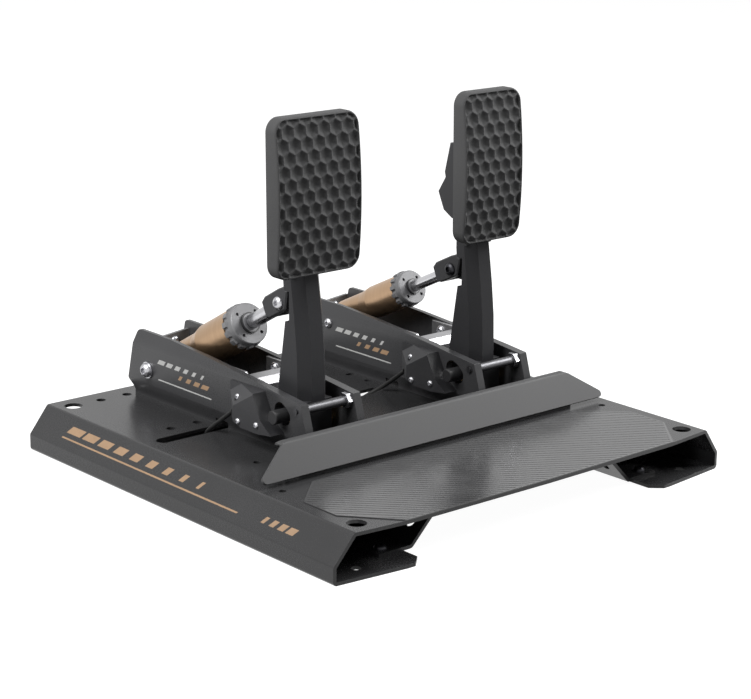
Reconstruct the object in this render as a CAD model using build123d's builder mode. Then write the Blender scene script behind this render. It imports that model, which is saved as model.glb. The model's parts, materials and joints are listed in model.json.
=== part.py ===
"""Two-pedal set for a driving simulator: a brake and a throttle pedal on a folded steel base.

Axes: X to the user's right, Y away from the user, Z up.
The origin lies on the floor, under the centre of the base. All lengths are in millimetres.
Places along Y are measured from the middle of the base's straight sides, and each finished
piece is set back by half the bow of the front edge.
"""
from build123d import *
import math
import os
from types import SimpleNamespace

os.makedirs("parts", exist_ok=True)

# Base plate, one folded sheet
sheet = 3.0
base_half_width = 200.0
base_half_depth = 208.4
front_bow = 10.0
front_shares = ((0.0, 1.0), (0.685, 0.84), (1.0, 0.12))
base_top = 39.2
flange_reach = 18.9
flange_drop = 24.0
foot_inner_half = 132.5
foot_corner_x = 11.6
foot_corner_y = 10.6
bend_radius = 3.6
access_hole = 8.0
floor_hole = 4.25
floor_hole_x = 185.0
floor_hole_front = -196.5
floor_hole_rear = 189.5
spare_hole = 4.25
spare_hole_xs = (-156.0, -128.0)
spare_hole_ys = (82.0, 189.0)
trim_hole = 3.2
trim_hole_spots = ((-155.0, -36.0), (183.0, -104.3), (-183.0, -104.3), (70.5, 86.0))
key_slot_length = 9.0
key_slot_width = 5.0
key_slot_spot = (71.0, 112.5)
lead_slot_y = 59.0
lead_slot_width = 13.0
left_slot_ends = (-187.0, -105.0)
middle_slot_ends = (-52.0, 64.0)

# Stiffeners under the base
web_foot_x = 125.0
web_top_x = 94.8
stiffener_foot_end = 158.0
stiffener_flange_end = 62.0
stiffener_half_length = 192.0
web_hole = 4.5
web_hole_height = 18.5
web_hole_y = 177.0
lead_window = 8.0
lead_window_height = 26.0
lead_window_y = 66.5
stiffener_bolt_x = 148.4
stiffener_bolt_ys = (-182.0, -61.0, 61.0, 182.0)

# Heel rest and heel mat
rest_front_y = -95.0
rest_front_z = 43.8
rest_fold_y = -70.4
rest_fold_z = 80.55
rest_fold_radius = 5.0
rest_front_half = 200.0
rest_top_half = 164.0
rest_leg_half = 156.0
rest_foot_length = 21.0
rest_low_corner = 3.5
rest_screw_y = -84.0
rest_screw_xs = (-120.0, -40.0, 40.0, 120.0)
mat_thickness = 0.5
mat_back_half = 151.0
mat_back_y = -102.0
mat_side_half = 187.0
mat_side_back_y = -135.5
mat_side_front_y = -175.0
mat_corner = 3.0

# Pedal frames
brake_x = -92.2
throttle_x = 103.2
plate_thickness = 8.0
plate_gap_half = 24.0
plate_front_y = -68.7
plate_length = 261.0
plate_height = 61.8
plate_outline_shares = (
    (0.987, 0.0),
    (0.987, 0.110),
    (1.0, 0.223),
    (0.968, 0.790),
    (0.957, 1.0),
    (0.773, 1.0),
    (0.551, 0.945),
    (0.267, 0.848),
    (0.0544, 0.757),
    (0.0276, 0.385),
    (0.0, 0.0),
)
plate_corner = 4.5
top_bevel_in = 4.5
top_bevel_height = 12.7
foot_bevel_in = 5.5
foot_bevel_top = 15.8
foot_bevel_low = 3.8
lug_reach = 12.0
lug_height = 11.8
lug_length = 20.0
lug_ys = (-54.0, 140.0)
lead_notch_width = 17.0
lead_notch_height = 6.0
plate_screw_depth = 6.0
plug_spot = (144.0, 82.0)

# Pedal arms
pivot_y = -20.0
pivot_z = 58.0
pivot_radius = 5.0
running_gap = 0.03
bush_wall = 2.0
bush_flange = 9.0
side_gap = 0.3
arm_half = 15.0
arm_nose_half = 7.0
arm_bevel_depth = 9.0
arm_foot_low = 44.6
arm_foot_top = 81.0
arm_foot_front = -38.3
arm_foot_back = -4.0
arm_foot_corner = 5.0
arm_top = 300.0
arm_shoulder_z = 187.0
arm_height = 105.0
arm_depth = 28.0
arm_front_shares = ((0.0, 0.0), (0.124, 0.0), (0.381, 0.036), (0.657, 0.154), (0.971, 0.332), (1.0, 0.355))
arm_back_shares = ((1.0, 1.0), (0.943, 1.0), (0.638, 0.896), (0.333, 1.075), (0.067, 1.221), (0.0, 1.221))
arm_top_thickness = 10.5
notch_low = 146.0
notch_top = 172.0
notch_floor = -18.0
tongue_half = 4.0
tongue_radius = 9.0

# Clevis joint between arm and rod
pin_y = 1.0
pin_z = 158.0
pin_radius = 4.0
pin_slack = 0.9
pin_head = 5.75
clevis_half = 11.0
clevis_gap_half = 5.0
clevis_slot_depth = 12.0
clevis_length = 37.4
clevis_rise = 19.0
clevis_outline_shares = (
    (0.594, 0.437),
    (0.439, 0.579),
    (-0.128, 0.589),
    (-0.337, 0.547),
    (-0.393, 0.268),
    (-0.364, 0.126),
    (-0.147, -0.411),
    (0.463, -0.400),
    (0.607, -0.295),
)
clevis_edge = 1.2

# Magnet post of the position sensor
post_y = -32.0
post_z = 72.5
post_radius = 6.0
post_reach = 12.0
post_edge = 0.6
post_slot_gap = 1.6
post_slot_spare = 5.0

# Cross rod at the front of each frame
tie_y = -48.5
tie_z = 79.5
tie_radius = 4.0
tie_nut_flats = 12.0
tie_nut_length = 5.0
tie_end = 1.2

# Cross bracket behind each arm
bracket_front_y = 12.0
bracket_back_y = 31.0
bracket_low_z = 75.0
bracket_front_z = 85.5
bracket_slope_y = 18.0
bracket_top_z = 91.0
ear_thickness = 3.0
ear_back_y = 58.0
ear_low_z = 78.0
ear_top_z = 94.0
ear_screw_y = 46.0
ear_screw_z = 86.5

# Rear bridge between the plates
bridge_thickness = 3.0
bridge_low_z = 62.0
bridge_left_z = 89.0
bridge_right_z = 94.0
bridge_screw_x = 8.0
bridge_screw_z = 84.6

# Cylinders, measured along their axis from the rear pivot
eye_half = 12.0
eye_pin_radius = 4.0
eye_gap = 0.05
eye_radius = 10.0
eye_shoulder = 16.0
spacer_radius = 7.0
ring_start = 109.3
ring_gap = 0.3
ring_flange_length = 5.0
ring_notch = 2.1
ring_notches = 14
ring_pin_hole = 1.5
ring_pin_holes = 4
ring_pin_depth = 3.0
ring_edge = 0.8
clip_thickness = 2.0
plug_length = 7.0
piston_length = 6.5
piston_gap = 0.06
cup_gap = 0.4
thread_share = 0.78

# Pads
pad_back_y = -25.0
pad_middle_z = 254.0
pad_lean_share = 0.0182
pad_corner = 12.0
pad_top_thickness = 11.0
pad_middle_thickness = 16.2
pad_low_thickness = 12.0
pad_front_edge = 2.0
holder_thickness = 3.0
holder_half_width = 30.0
holder_low_z = 202.0
holder_top_z = 296.0
holder_screw_x = 24.0
holder_screw_zs = (218.0, 280.0)
cheek_bolt_zs = (234.0, 262.0)
cheek_bolt_back = 8.0

# Sensor boxes
box_depth = 14.0
box_wall = 1.8
box_lid = 2.0
box_front_y = -33.0
box_low_z = 54.5
box_length = 70.5
box_height = 33.1
box_outline_shares = (
    (0.0, 0.075),
    (0.255, 0.0),
    (0.567, 0.0),
    (0.738, 0.10),
    (1.0, 0.20),
    (1.0, 1.0),
    (0.355, 1.0),
    (0.199, 0.378),
)
box_rear_slant = 18.5
box_bevel_z = 72.4
box_bevel_y = 16.8
box_bevel_angles = (0.797, 0.300, 0.526)
board_length = 22.0
board_height = 16.0
board_thickness = 1.6
board_y = 4.0
board_z = 72.0
box_screw_spots = ((11.3, 59.4), (-13.4, 61.8))
box_upper_screw = (19.0, 78.0)
box_upper_seat = 8.0
box_screw_radius = 1.5
box_screw_head = 2.8
box_screw_head_height = 1.8
socket_width = 9.0
socket_height = 3.4
socket_y = 4.0

# Fasteners
m5_radius = 2.5
m5_head = 4.75
m5_head_height = 2.75
m6_radius = 3.0
m6_head = 5.25
m6_head_height = 3.3
m8_head = 6.5
m8_head_height = 4.4
m8_washer = 7.5
m8_washer_height = 1.6
m8_nut_flats = 13.0
m8_nut_length = 6.5
bolt_hole_gap = 0.3
hex_drive_share = 0.5
hex_depth_share = 0.6
cut_overrun = 2.0

# Lead between the two sensor boxes, point by point along its middle
lead_radius = 2.0
lead_clearance = 0.1
lead_route = (
    (-131.0, 27.5, 63.4),
    (-131.6, 39.0, 54.5),
    (-133.0, 49.5, 46.5),
    (-135.0, 58.5, 38.5),
    (-130.0, 67.0, 31.5),
    (-119.0, 70.0, 27.0),
    (-105.0, 67.0, 25.8),
    (-90.0, 63.0, 26.4),
    (-70.0, 61.4, 29.0),
    (-45.0, 62.6, 30.9),
    (-15.0, 61.6, 31.2),
    (12.0, 62.4, 30.8),
    (30.0, 61.0, 30.2),
    (43.0, 64.0, 31.5),
    (54.0, 61.0, 36.5),
    (60.5, 52.5, 43.5),
    (62.8, 42.0, 52.0),
    (64.4, 28.6, 62.6),
)
arc_share = 0.45
clip_width = 8.0
clip_length = 11.0
clip_low = 27.4
clip_ys = (62.1, 62.0)
clip_xs = (-30.0, -1.5)
clip_zs = (31.05, 31.0)

# Values worked out from the sizes above
plate_outer = plate_gap_half + plate_thickness
base_under = base_top - sheet
flange_x = base_half_width + flange_reach
flange_z = base_top - flange_drop
front_outline = [
    (across * flange_x, -base_half_depth - out * front_bow) for across, out in front_shares
]
front_y = -base_half_depth - front_bow
plate_outline = [
    (plate_front_y + along * plate_length, base_top + up * plate_height)
    for along, up in plate_outline_shares
]
plate_top = base_top + plate_height
pivot = (pivot_y, pivot_z)
bush_radius = pivot_radius + bush_wall


def pad_back(z):
    """Y of the pads' flat back at a height."""
    return pad_back_y + (z - pad_middle_z) * pad_lean_share


def finish(builder, label):
    """Sets a finished piece back in the set's frame, names it and writes it."""
    with BuildPart() as placed:
        with Locations((0, front_bow / 2, 0)):
            add(builder.part)
    placed.part.label = label
    export_step(placed.part, f"parts/{label}.step")


def prism_x(points, start, end, mode=Mode.ADD, rounding=0, rounded=()):
    """A side outline of (y, z) points, pulled along X."""
    with BuildSketch(Plane.YZ.offset(start)) as outline:
        with BuildLine():
            Polyline(*points, close=True)
        make_face()
        if rounded:
            corners = [outline.vertices().sort_by_distance(Vector(*points[i]))[0] for i in rounded]
            fillet(corners, rounding)
    extrude(outline.sketch, amount=end - start, mode=mode)


def prism_y(points, start, end, mode=Mode.ADD):
    """A front outline of (x, z) points, pulled along Y."""
    with BuildSketch(Plane.XZ.offset(-start)) as outline:
        with BuildLine():
            Polyline(*points, close=True)
        make_face()
    extrude(outline.sketch, amount=start - end, mode=mode)


def rod_x(spot, radius, start, end, mode=Mode.ADD):
    """A round bar or hole along X at a (y, z) spot."""
    with BuildSketch(Plane.YZ.offset(start)) as disc:
        with Locations(spot):
            Circle(radius)
    extrude(disc.sketch, amount=end - start, mode=mode)


def rod_z(spot, radius, start, end, mode=Mode.ADD):
    """A round bar or hole along Z at an (x, y) spot."""
    with BuildSketch(Plane.XY.offset(start)) as disc:
        with Locations(spot):
            Circle(radius)
    extrude(disc.sketch, amount=end - start, mode=mode)


def turned(plane, profile, mode=Mode.ADD):
    """A profile of (along, radius) points turned about the plane's own X axis."""
    with BuildSketch(plane) as outline:
        with BuildLine():
            Polyline(*profile, close=True)
        make_face()
    revolve(outline.sketch, axis=Axis(plane.origin, plane.x_dir), mode=mode)


def domed_screw(radius, head, head_height, length, washer=0, washer_height=0):
    """A screw with a domed hex socket head. Its seat is at the origin and its shank points down."""
    with BuildPart(mode=Mode.PRIVATE) as screw:
        with BuildSketch(Plane.XZ):
            with BuildLine():
                crown = head_height + washer_height
                shoulder = (head, washer_height + head_height * hex_drive_share * hex_drive_share)
                Line((0, -length), (0, crown))
                Line((0, crown), (head * hex_drive_share, crown))
                ThreePointArc(
                    (head * hex_drive_share, crown),
                    (head * (1 + hex_drive_share) / 2, (crown + (crown + shoulder[1]) / 2) / 2),
                    shoulder,
                )
                if washer:
                    Line(shoulder, (head, washer_height))
                    Line((head, washer_height), (washer, washer_height))
                    Line((washer, washer_height), (washer, 0))
                    Line((washer, 0), (radius, 0))
                else:
                    Line(shoulder, (head, 0))
                    Line((head, 0), (radius, 0))
                Line((radius, 0), (radius, -length))
                Line((radius, -length), (0, -length))
            make_face()
        revolve(axis=Axis.Z)
        with BuildSketch(Plane.XY.offset(crown)):
            RegularPolygon(head * hex_drive_share, 6)
        extrude(amount=-head_height * hex_depth_share, mode=Mode.SUBTRACT)
    return screw.part


def hex_nut(flats, length, bore):
    """A hexagon nut. Its seat is at the origin and it stands up along Z."""
    with BuildPart(mode=Mode.PRIVATE) as nut:
        with BuildSketch(Plane.XY):
            RegularPolygon(flats / 2, 6, major_radius=False)
            Circle(bore, mode=Mode.SUBTRACT)
        extrude(amount=length)
        with BuildSketch(Plane.XZ):
            with BuildLine():
                corner = flats / math.sqrt(3)
                Polyline(
                    (flats / 2, length),
                    (corner + ring_edge, length),
                    (corner + ring_edge, length - (corner + ring_edge - flats / 2) * hex_drive_share),
                    close=True,
                )
            make_face()
        revolve(axis=Axis.Z, mode=Mode.SUBTRACT)
    return nut.part


def fastened(label, piece, seats):
    """One node of equal fasteners, each on its own seat plane."""
    with BuildPart() as group:
        with Locations(*seats):
            add(piece)
    finish(group, label)


# Seats point out of the surface that the screw's head stands on
def seat_left(x, y, z):
    return Plane(origin=(x, y, z), x_dir=(0, 1, 0), z_dir=(-1, 0, 0))


def seat_right(x, y, z):
    return Plane(origin=(x, y, z), x_dir=(0, 1, 0), z_dir=(1, 0, 0))


def seat_front(x, y, z):
    return Plane(origin=(x, y, z), x_dir=(1, 0, 0), z_dir=(0, -1, 0))


def seat_pad(x, z):
    """A seat on the back of the pad's holder, which leans with the pad."""
    spot = (x, pad_back(z) + holder_thickness, z)
    return Plane(origin=spot, x_dir=(1, 0, 0), z_dir=(0, 1, -pad_lean_share))


def seat_under(x, y, z):
    return Plane(origin=(x, y, z), x_dir=(1, 0, 0), z_dir=(0, 0, -1))


def seat_top(x, y, z):
    return Plane(origin=(x, y, z), x_dir=(1, 0, 0), z_dir=(0, 0, 1))


# The two pedals share their frames and arms, and differ in cylinder, pad and travel
brake = SimpleNamespace(
    name="brake",
    x=brake_x,
    travel=10.0,
    rear=(160.6, 68.0),
    bridge_y=175.0,
    body=18.9,
    body_start=62.0,
    cone_start=49.0,
    housing=16.0,
    chamber=14.5,
    ring=18.6,
    ring_flange=20.0,
    ring_length=12.7,
    ring_pin_circle=13.5,
    neck=8.0,
    clip=9.2,
    rod=6.5,
    spring_start=32.0,
    pad_width=88.3,
    pad_low=188.0,
    pad_top=320.0,
    holder_cheek_shares=((0.0, 0.0), (0.55, 0.05), (0.75, 0.3), (0.75, 0.7), (0.5, 1.0), (0.0, 1.0)),
    holder_cheek_low=206.0,
    holder_cheek_top=274.0,
    holder_cheek_depth=20.0,
)
throttle = SimpleNamespace(
    name="throttle",
    x=throttle_x,
    travel=15.0,
    rear=(172.0, 75.4),
    bridge_y=182.6,
    body=15.2,
    body_start=67.5,
    cone_start=54.5,
    housing=13.3,
    chamber=11.6,
    ring=15.8,
    ring_flange=17.0,
    ring_length=12.2,
    ring_pin_circle=11.3,
    neck=6.4,
    clip=7.2,
    rod=5.2,
    spring_start=36.0,
    pad_width=69.3,
    pad_low=189.0,
    pad_top=321.5,
    holder_cheek_shares=(
        (0.0, 0.0),
        (0.50, 0.0),
        (0.80, 0.09),
        (1.0, 0.32),
        (0.74, 0.53),
        (0.77, 0.60),
        (0.57, 1.0),
        (0.0, 1.0),
    ),
    holder_cheek_low=206.7,
    holder_cheek_top=273.3,
    holder_cheek_depth=35.0,
)
pedals = (brake, throttle)
for pedal in pedals:
    reach_y = pedal.rear[0] - pin_y
    reach_z = pin_z - pedal.rear[1]
    pedal.length = math.hypot(reach_y, reach_z)
    pedal.along = Vector(0, -reach_y / pedal.length, reach_z / pedal.length)
    pedal.axis = Plane(
        origin=(pedal.x, pedal.rear[0], pedal.rear[1]),
        x_dir=pedal.along,
        z_dir=(-1, 0, 0),
    )
    pedal.ring_end = ring_start + pedal.ring_length
    pedal.clip_start = pedal.ring_end + ring_gap
    pedal.neck_end = pedal.clip_start + clip_thickness
    pedal.plug_start = ring_start - ring_gap - plug_length
    pedal.piston_front = pedal.plug_start - ring_gap
    pedal.piston_back = pedal.piston_front - piston_length
    pedal.clevis_back = pedal.length - clevis_length * clevis_outline_shares[-1][0]


def trim_front(low, high):
    """Cuts a piece off along the base's bowed front edge, between two heights."""
    with BuildSketch(Plane.XY.offset(low)) as beyond:
        for side in (-1, 1):
            with BuildLine():
                Polyline(
                    *((side * x, y) for x, y in front_outline),
                    (side * (flange_x + cut_overrun), front_outline[-1][1]),
                    (side * (flange_x + cut_overrun), front_y - cut_overrun),
                    (0, front_y - cut_overrun),
                    close=True,
                )
            make_face()
    extrude(beyond.sketch, amount=high - low, mode=Mode.SUBTRACT)


# Base plate
with BuildPart() as base_plate:
    with BuildSketch(Plane.XZ.offset(-front_y)):
        with BuildLine():
            outer = FilletPolyline(
                (-foot_inner_half, 0),
                (-flange_x, 0),
                (-flange_x, flange_z),
                (-base_half_width, base_top),
                (base_half_width, base_top),
                (flange_x, flange_z),
                (flange_x, 0),
                (foot_inner_half, 0),
                radius=bend_radius,
            )
            offset(amount=sheet, side=Side.RIGHT)
        make_face()
    extrude(amount=front_y - base_half_depth)
    trim_front(-cut_overrun, base_top + cut_overrun)
    with BuildSketch(Plane.XY):
        for side in (-1, 1):
            with BuildLine():
                Polyline(
                    (side * foot_inner_half, front_y),
                    (side * (foot_inner_half + foot_corner_x), front_y),
                    (side * foot_inner_half, front_y + foot_corner_y),
                    close=True,
                )
            make_face()
    extrude(amount=sheet, mode=Mode.SUBTRACT)
    for x in (-floor_hole_x, floor_hole_x):
        for y in (floor_hole_front, floor_hole_rear):
            rod_z((x, y), floor_hole, 0, sheet, Mode.SUBTRACT)
            rod_z((x, y), access_hole, base_under, base_top, Mode.SUBTRACT)
    for x in spare_hole_xs:
        for y in spare_hole_ys:
            rod_z((x, y), spare_hole, base_under, base_top, Mode.SUBTRACT)
    for spot in trim_hole_spots:
        rod_z(spot, trim_hole, base_under, base_top, Mode.SUBTRACT)
    for pedal in pedals:
        for side in (-1, 1):
            for y in lug_ys:
                x = pedal.x + side * (lug_reach + plate_gap_half) / 2
                rod_z((x, y), m6_radius + bolt_hole_gap, base_under, base_top, Mode.SUBTRACT)
    for x in rest_screw_xs:
        rod_z((x, rest_screw_y), m5_radius + bolt_hole_gap, base_under, base_top, Mode.SUBTRACT)
    for side in (-1, 1):
        for y in stiffener_bolt_ys:
            rod_z((side * stiffener_bolt_x, y), m6_radius, 0, sheet, Mode.SUBTRACT)
    with BuildSketch(Plane.XY.offset(base_under)):
        for ends in (left_slot_ends, middle_slot_ends):
            with Locations((sum(ends) / 2, lead_slot_y)):
                SlotOverall(ends[1] - ends[0], lead_slot_width)
        with Locations(key_slot_spot):
            SlotOverall(key_slot_length, key_slot_width)
    extrude(amount=sheet, mode=Mode.SUBTRACT)
finish(base_plate, "base_plate")


def stiffener(side):
    """Folded channel half between the base's top sheet and its bottom flange."""
    name = "left_stiffener" if side < 0 else "right_stiffener"
    with BuildPart() as web:
        with BuildSketch(Plane.XZ.offset(stiffener_half_length)):
            with BuildLine():
                FilletPolyline(
                    (side * stiffener_foot_end, 2 * sheet),
                    (side * web_foot_x, 2 * sheet),
                    (side * web_top_x, base_under),
                    (side * stiffener_flange_end, base_under),
                    radius=sheet / 2,
                )
                offset(amount=sheet, side=Side.RIGHT if side < 0 else Side.LEFT)
            make_face()
        extrude(amount=-2 * stiffener_half_length)
        rise = base_under - 2 * sheet
        run = web_foot_x - web_top_x
        for height, y, radius in (
            (web_hole_height, -web_hole_y, web_hole),
            (web_hole_height, web_hole_y, web_hole),
            (lead_window_height, lead_window_y, lead_window),
        ):
            x = web_foot_x - run * (height - 2 * sheet) / rise
            through = Plane(origin=(side * x, y, height), x_dir=(0, 1, 0), z_dir=(side * rise, 0, run))
            with BuildSketch(through):
                Circle(radius)
            extrude(amount=sheet + cut_overrun, both=True, mode=Mode.SUBTRACT)
        for y in stiffener_bolt_ys:
            rod_z((side * stiffener_bolt_x, y), m6_radius + bolt_hole_gap, sheet, 2 * sheet, Mode.SUBTRACT)
        above = brake if side < 0 else throttle
        inner_lug = above.x - side * (lug_reach + plate_gap_half) / 2
        for y in lug_ys:
            rod_z((inner_lug, y), m6_radius + bolt_hole_gap, base_under - sheet, base_under, Mode.SUBTRACT)
    finish(web, name)


for side in (-1, 1):
    stiffener(side)

fastened(
    "stiffener_bolts",
    domed_screw(m6_radius, m6_head, m6_head_height, 2 * sheet),
    [seat_top(side * stiffener_bolt_x, y, 2 * sheet) for side in (-1, 1) for y in stiffener_bolt_ys],
)

# Heel rest: a sloping face and fold with slanted ends, a rear leg and a hidden foot
slope = Vector(0, rest_fold_y - rest_front_y, rest_fold_z - rest_front_z)
fold_angle = math.atan2(slope.Y, slope.Z)
fold_start = rest_fold_radius / math.tan(fold_angle / 2)
face_length = slope.length - fold_start
lean_y = math.sin(fold_angle)
lean_z = math.cos(fold_angle)
leg_inside = rest_fold_y - sheet
face_rise = (leg_inside - rest_front_y - sheet * lean_z) * lean_z / lean_y
rest_outside = (
    (rest_front_y, rest_front_z),
    (rest_fold_y, rest_fold_z),
    (rest_fold_y, base_top),
    (rest_fold_y - rest_foot_length, base_top),
)
rest_inside = (
    (rest_front_y + sheet * lean_z, rest_front_z - sheet * lean_y),
    (leg_inside, rest_front_z - sheet * lean_y + face_rise),
    (leg_inside, base_top + sheet),
    (rest_fold_y - rest_foot_length, base_top + sheet),
)
end_lean = (rest_front_half - rest_top_half) / face_length
roll_half = rest_top_half - end_lean * rest_fold_radius * (math.pi / 2 - fold_angle)
roll_low = rest_fold_z - fold_start * lean_z
roll_top = rest_fold_z - fold_start + rest_fold_radius
roll_inside = roll_low - sheet * lean_y


def folded(half):
    """The heel rest's bent section, as a strip with a half width."""
    with BuildSketch(Plane.YZ.offset(-half)) as strip:
        with BuildLine():
            Polyline(*rest_outside, *reversed(rest_inside), close=True)
        make_face()
        for points, radius in (
            (rest_outside[1:3], rest_fold_radius),
            (rest_inside[1:3], rest_fold_radius - sheet),
        ):
            corners = [strip.vertices().sort_by_distance(Vector(*point))[0] for point in points]
            fillet(corners, radius)
    extrude(strip.sketch, amount=2 * half)


with BuildPart(mode=Mode.PRIVATE) as roll:
    folded(rest_top_half)
    roll_front = (
        (-rest_top_half, roll_inside),
        (-rest_top_half, roll_low),
        (-roll_half, roll_top),
        (roll_half, roll_top),
        (rest_top_half, roll_low),
        (rest_top_half, roll_inside),
    )
    prism_y(roll_front, rest_front_y, rest_fold_y + sheet, Mode.INTERSECT)
with BuildPart() as heel_rest:
    folded(rest_leg_half)
    add(roll.part)
    face_plane = Plane(
        origin=(0, rest_front_y, rest_front_z),
        x_dir=(1, 0, 0),
        z_dir=(0, -slope.Z, slope.Y),
    )
    with BuildSketch(face_plane) as face:
        with BuildLine():
            Polyline(
                (-rest_front_half, 0),
                (rest_front_half, 0),
                (rest_top_half, face_length),
                (-rest_top_half, face_length),
                close=True,
            )
        make_face()
        fillet(face.vertices().group_by(Axis.Y)[0], rest_low_corner)
    extrude(face.sketch, amount=-sheet)
    for x in rest_screw_xs:
        rod_z((x, rest_screw_y), m5_radius, base_top, base_top + sheet, Mode.SUBTRACT)
finish(heel_rest, "heel_rest")

fastened(
    "heel_rest_screws",
    domed_screw(m5_radius, m5_head, m5_head_height, 2 * sheet),
    [seat_under(x, rest_screw_y, base_under) for x in rest_screw_xs],
)

# Heel mat: a thin ribbed inlay on the front of the base
with BuildPart() as heel_mat:
    with BuildSketch(Plane.XY.offset(base_top)):
        with BuildLine():
            FilletPolyline(
                (-mat_back_half, mat_back_y),
                (mat_back_half, mat_back_y),
                (mat_side_half, mat_side_back_y),
                (mat_side_half, mat_side_front_y),
                (mat_back_half, front_y),
                (-mat_back_half, front_y),
                (-mat_side_half, mat_side_front_y),
                (-mat_side_half, mat_side_back_y),
                radius=mat_corner,
                close=True,
            )
        make_face()
    extrude(amount=mat_thickness)
    trim_front(base_under, base_top + sheet)
finish(heel_mat, "heel_mat")


def side_plate(pedal, side):
    """One of the two thick plates that carry a pedal."""
    inner = pedal.x + side * plate_gap_half
    outer = pedal.x + side * plate_outer
    name = f"{pedal.name}_{'left' if side < 0 else 'right'}_plate"
    beyond = outer + side * cut_overrun
    with BuildPart() as plate:
        prism_x(plate_outline, inner, outer, rounding=plate_corner, rounded=(4,))
        for y in lug_ys:
            lug_x = inner - side * (plate_gap_half - lug_reach) / 2
            with Locations((lug_x, y, base_top + lug_height / 2)):
                Box(plate_gap_half - lug_reach, lug_length, lug_height)
        bevel_base = plate_top - top_bevel_height
        prism_y(
            (
                (outer, bevel_base),
                (outer - side * top_bevel_in, plate_top),
                (outer - side * top_bevel_in, plate_top + cut_overrun),
                (beyond, plate_top + cut_overrun),
                (beyond, bevel_base),
            ),
            plate_front_y - cut_overrun,
            plate_front_y + plate_length + cut_overrun,
            Mode.SUBTRACT,
        )
        prism_y(
            (
                (outer, base_top + foot_bevel_top),
                (outer - side * foot_bevel_in, base_top + foot_bevel_low),
                (outer - side * foot_bevel_in, base_top - cut_overrun),
                (beyond, base_top - cut_overrun),
                (beyond, base_top + foot_bevel_top),
            ),
            plate_front_y - cut_overrun,
            plate_front_y + plate_length + cut_overrun,
            Mode.SUBTRACT,
        )
        rod_x(pivot, pivot_radius, inner, outer, Mode.SUBTRACT)
        rod_x((tie_y, tie_z), tie_radius, inner, outer, Mode.SUBTRACT)
        rod_x(pedal.rear, eye_pin_radius, inner, outer, Mode.SUBTRACT)
        rod_x((ear_screw_y, ear_screw_z), m5_radius, inner, inner + side * plate_screw_depth, Mode.SUBTRACT)
        for y in lug_ys:
            spot = (inner - side * (plate_gap_half - lug_reach) / 2, y)
            rod_z(spot, m6_radius, base_top, base_top + lug_height - sheet, Mode.SUBTRACT)
        if side < 0:
            reach = math.hypot(post_y - pivot_y, post_z - pivot_z)
            rest_angle = math.degrees(math.atan2(post_z - pivot_z, post_y - pivot_y))
            with BuildSketch(Plane.YZ.offset(inner)) as window:
                with BuildLine(mode=Mode.PRIVATE) as sweep_line:
                    CenterArc(
                        pivot,
                        reach,
                        rest_angle - pedal.travel - post_slot_spare,
                        pedal.travel + 2 * post_slot_spare,
                    )
                SlotArc(sweep_line.wire(), 2 * (post_radius + post_slot_gap))
            extrude(window.sketch, amount=-plate_thickness, mode=Mode.SUBTRACT)
            notch_low = base_top - cut_overrun
            with Locations((pedal.x - plate_outer, lead_slot_y, notch_low)):
                Box(
                    2 * (plate_thickness + cut_overrun),
                    lead_notch_width,
                    lead_notch_height + cut_overrun,
                    align=(Align.CENTER, Align.CENTER, Align.MIN),
                    mode=Mode.SUBTRACT,
                )
            for spot in (*box_screw_spots, box_upper_screw):
                rod_x(spot, box_screw_radius, outer, outer + plate_screw_depth, Mode.SUBTRACT)
            if pedal is throttle:
                rod_x(plug_spot, m5_radius, outer, outer + plate_screw_depth, Mode.SUBTRACT)
    finish(plate, name)


for pedal in pedals:
    for side in (-1, 1):
        side_plate(pedal, side)

lug_seats = []
for pedal in pedals:
    for side in (-1, 1):
        x = pedal.x + side * (lug_reach + plate_gap_half) / 2
        under_flange = abs(x) < web_top_x
        for y in lug_ys:
            lug_seats.append(seat_under(x, y, base_under - sheet if under_flange else base_under))
with BuildPart() as pedal_mount_screws:
    for seat in lug_seats:
        grip = base_top - seat.origin.Z
        with Locations(seat):
            add(domed_screw(m6_radius, m6_head, m6_head_height, grip + lug_height - 2 * sheet))
finish(pedal_mount_screws, "pedal_mount_screws")


def cross_bracket(pedal):
    """Bare aluminium bracket that spaces the plates behind the arm."""
    with BuildPart() as bracket:
        prism_x(
            (
                (bracket_front_y, bracket_low_z),
                (bracket_front_y, bracket_front_z),
                (bracket_slope_y, bracket_top_z),
                (bracket_back_y, bracket_top_z),
                (bracket_back_y, bracket_low_z),
            ),
            pedal.x - plate_gap_half,
            pedal.x + plate_gap_half,
        )
        for side in (-1, 1):
            inner = pedal.x + side * plate_gap_half
            prism_x(
                (
                    (bracket_back_y - ear_thickness, ear_low_z),
                    (bracket_back_y - ear_thickness, bracket_top_z),
                    (bracket_back_y, ear_top_z),
                    (ear_back_y, ear_top_z),
                    (ear_back_y, ear_low_z),
                ),
                inner - side * ear_thickness,
                inner,
            )
            rod_x((ear_screw_y, ear_screw_z), m5_radius, inner - side * ear_thickness, inner, Mode.SUBTRACT)
    finish(bracket, f"{pedal.name}_cross_bracket")


def rear_bridge(pedal):
    """Wall that closes the back of a pedal frame."""
    left = pedal.x - plate_gap_half
    right = pedal.x + plate_gap_half
    with BuildPart() as bridge:
        prism_y(
            (
                (left, bridge_low_z),
                (left, bridge_left_z),
                (right, bridge_right_z),
                (right, bridge_low_z),
            ),
            pedal.bridge_y,
            pedal.bridge_y + bridge_thickness,
        )
        for offset_x in (-bridge_screw_x, bridge_screw_x):
            with BuildSketch(seat_front(pedal.x + offset_x, pedal.bridge_y, bridge_screw_z)):
                Circle(m5_radius)
            extrude(amount=-bridge_thickness, mode=Mode.SUBTRACT)
    finish(bridge, f"{pedal.name}_rear_bridge")


for pedal in pedals:
    cross_bracket(pedal)
    rear_bridge(pedal)

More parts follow.
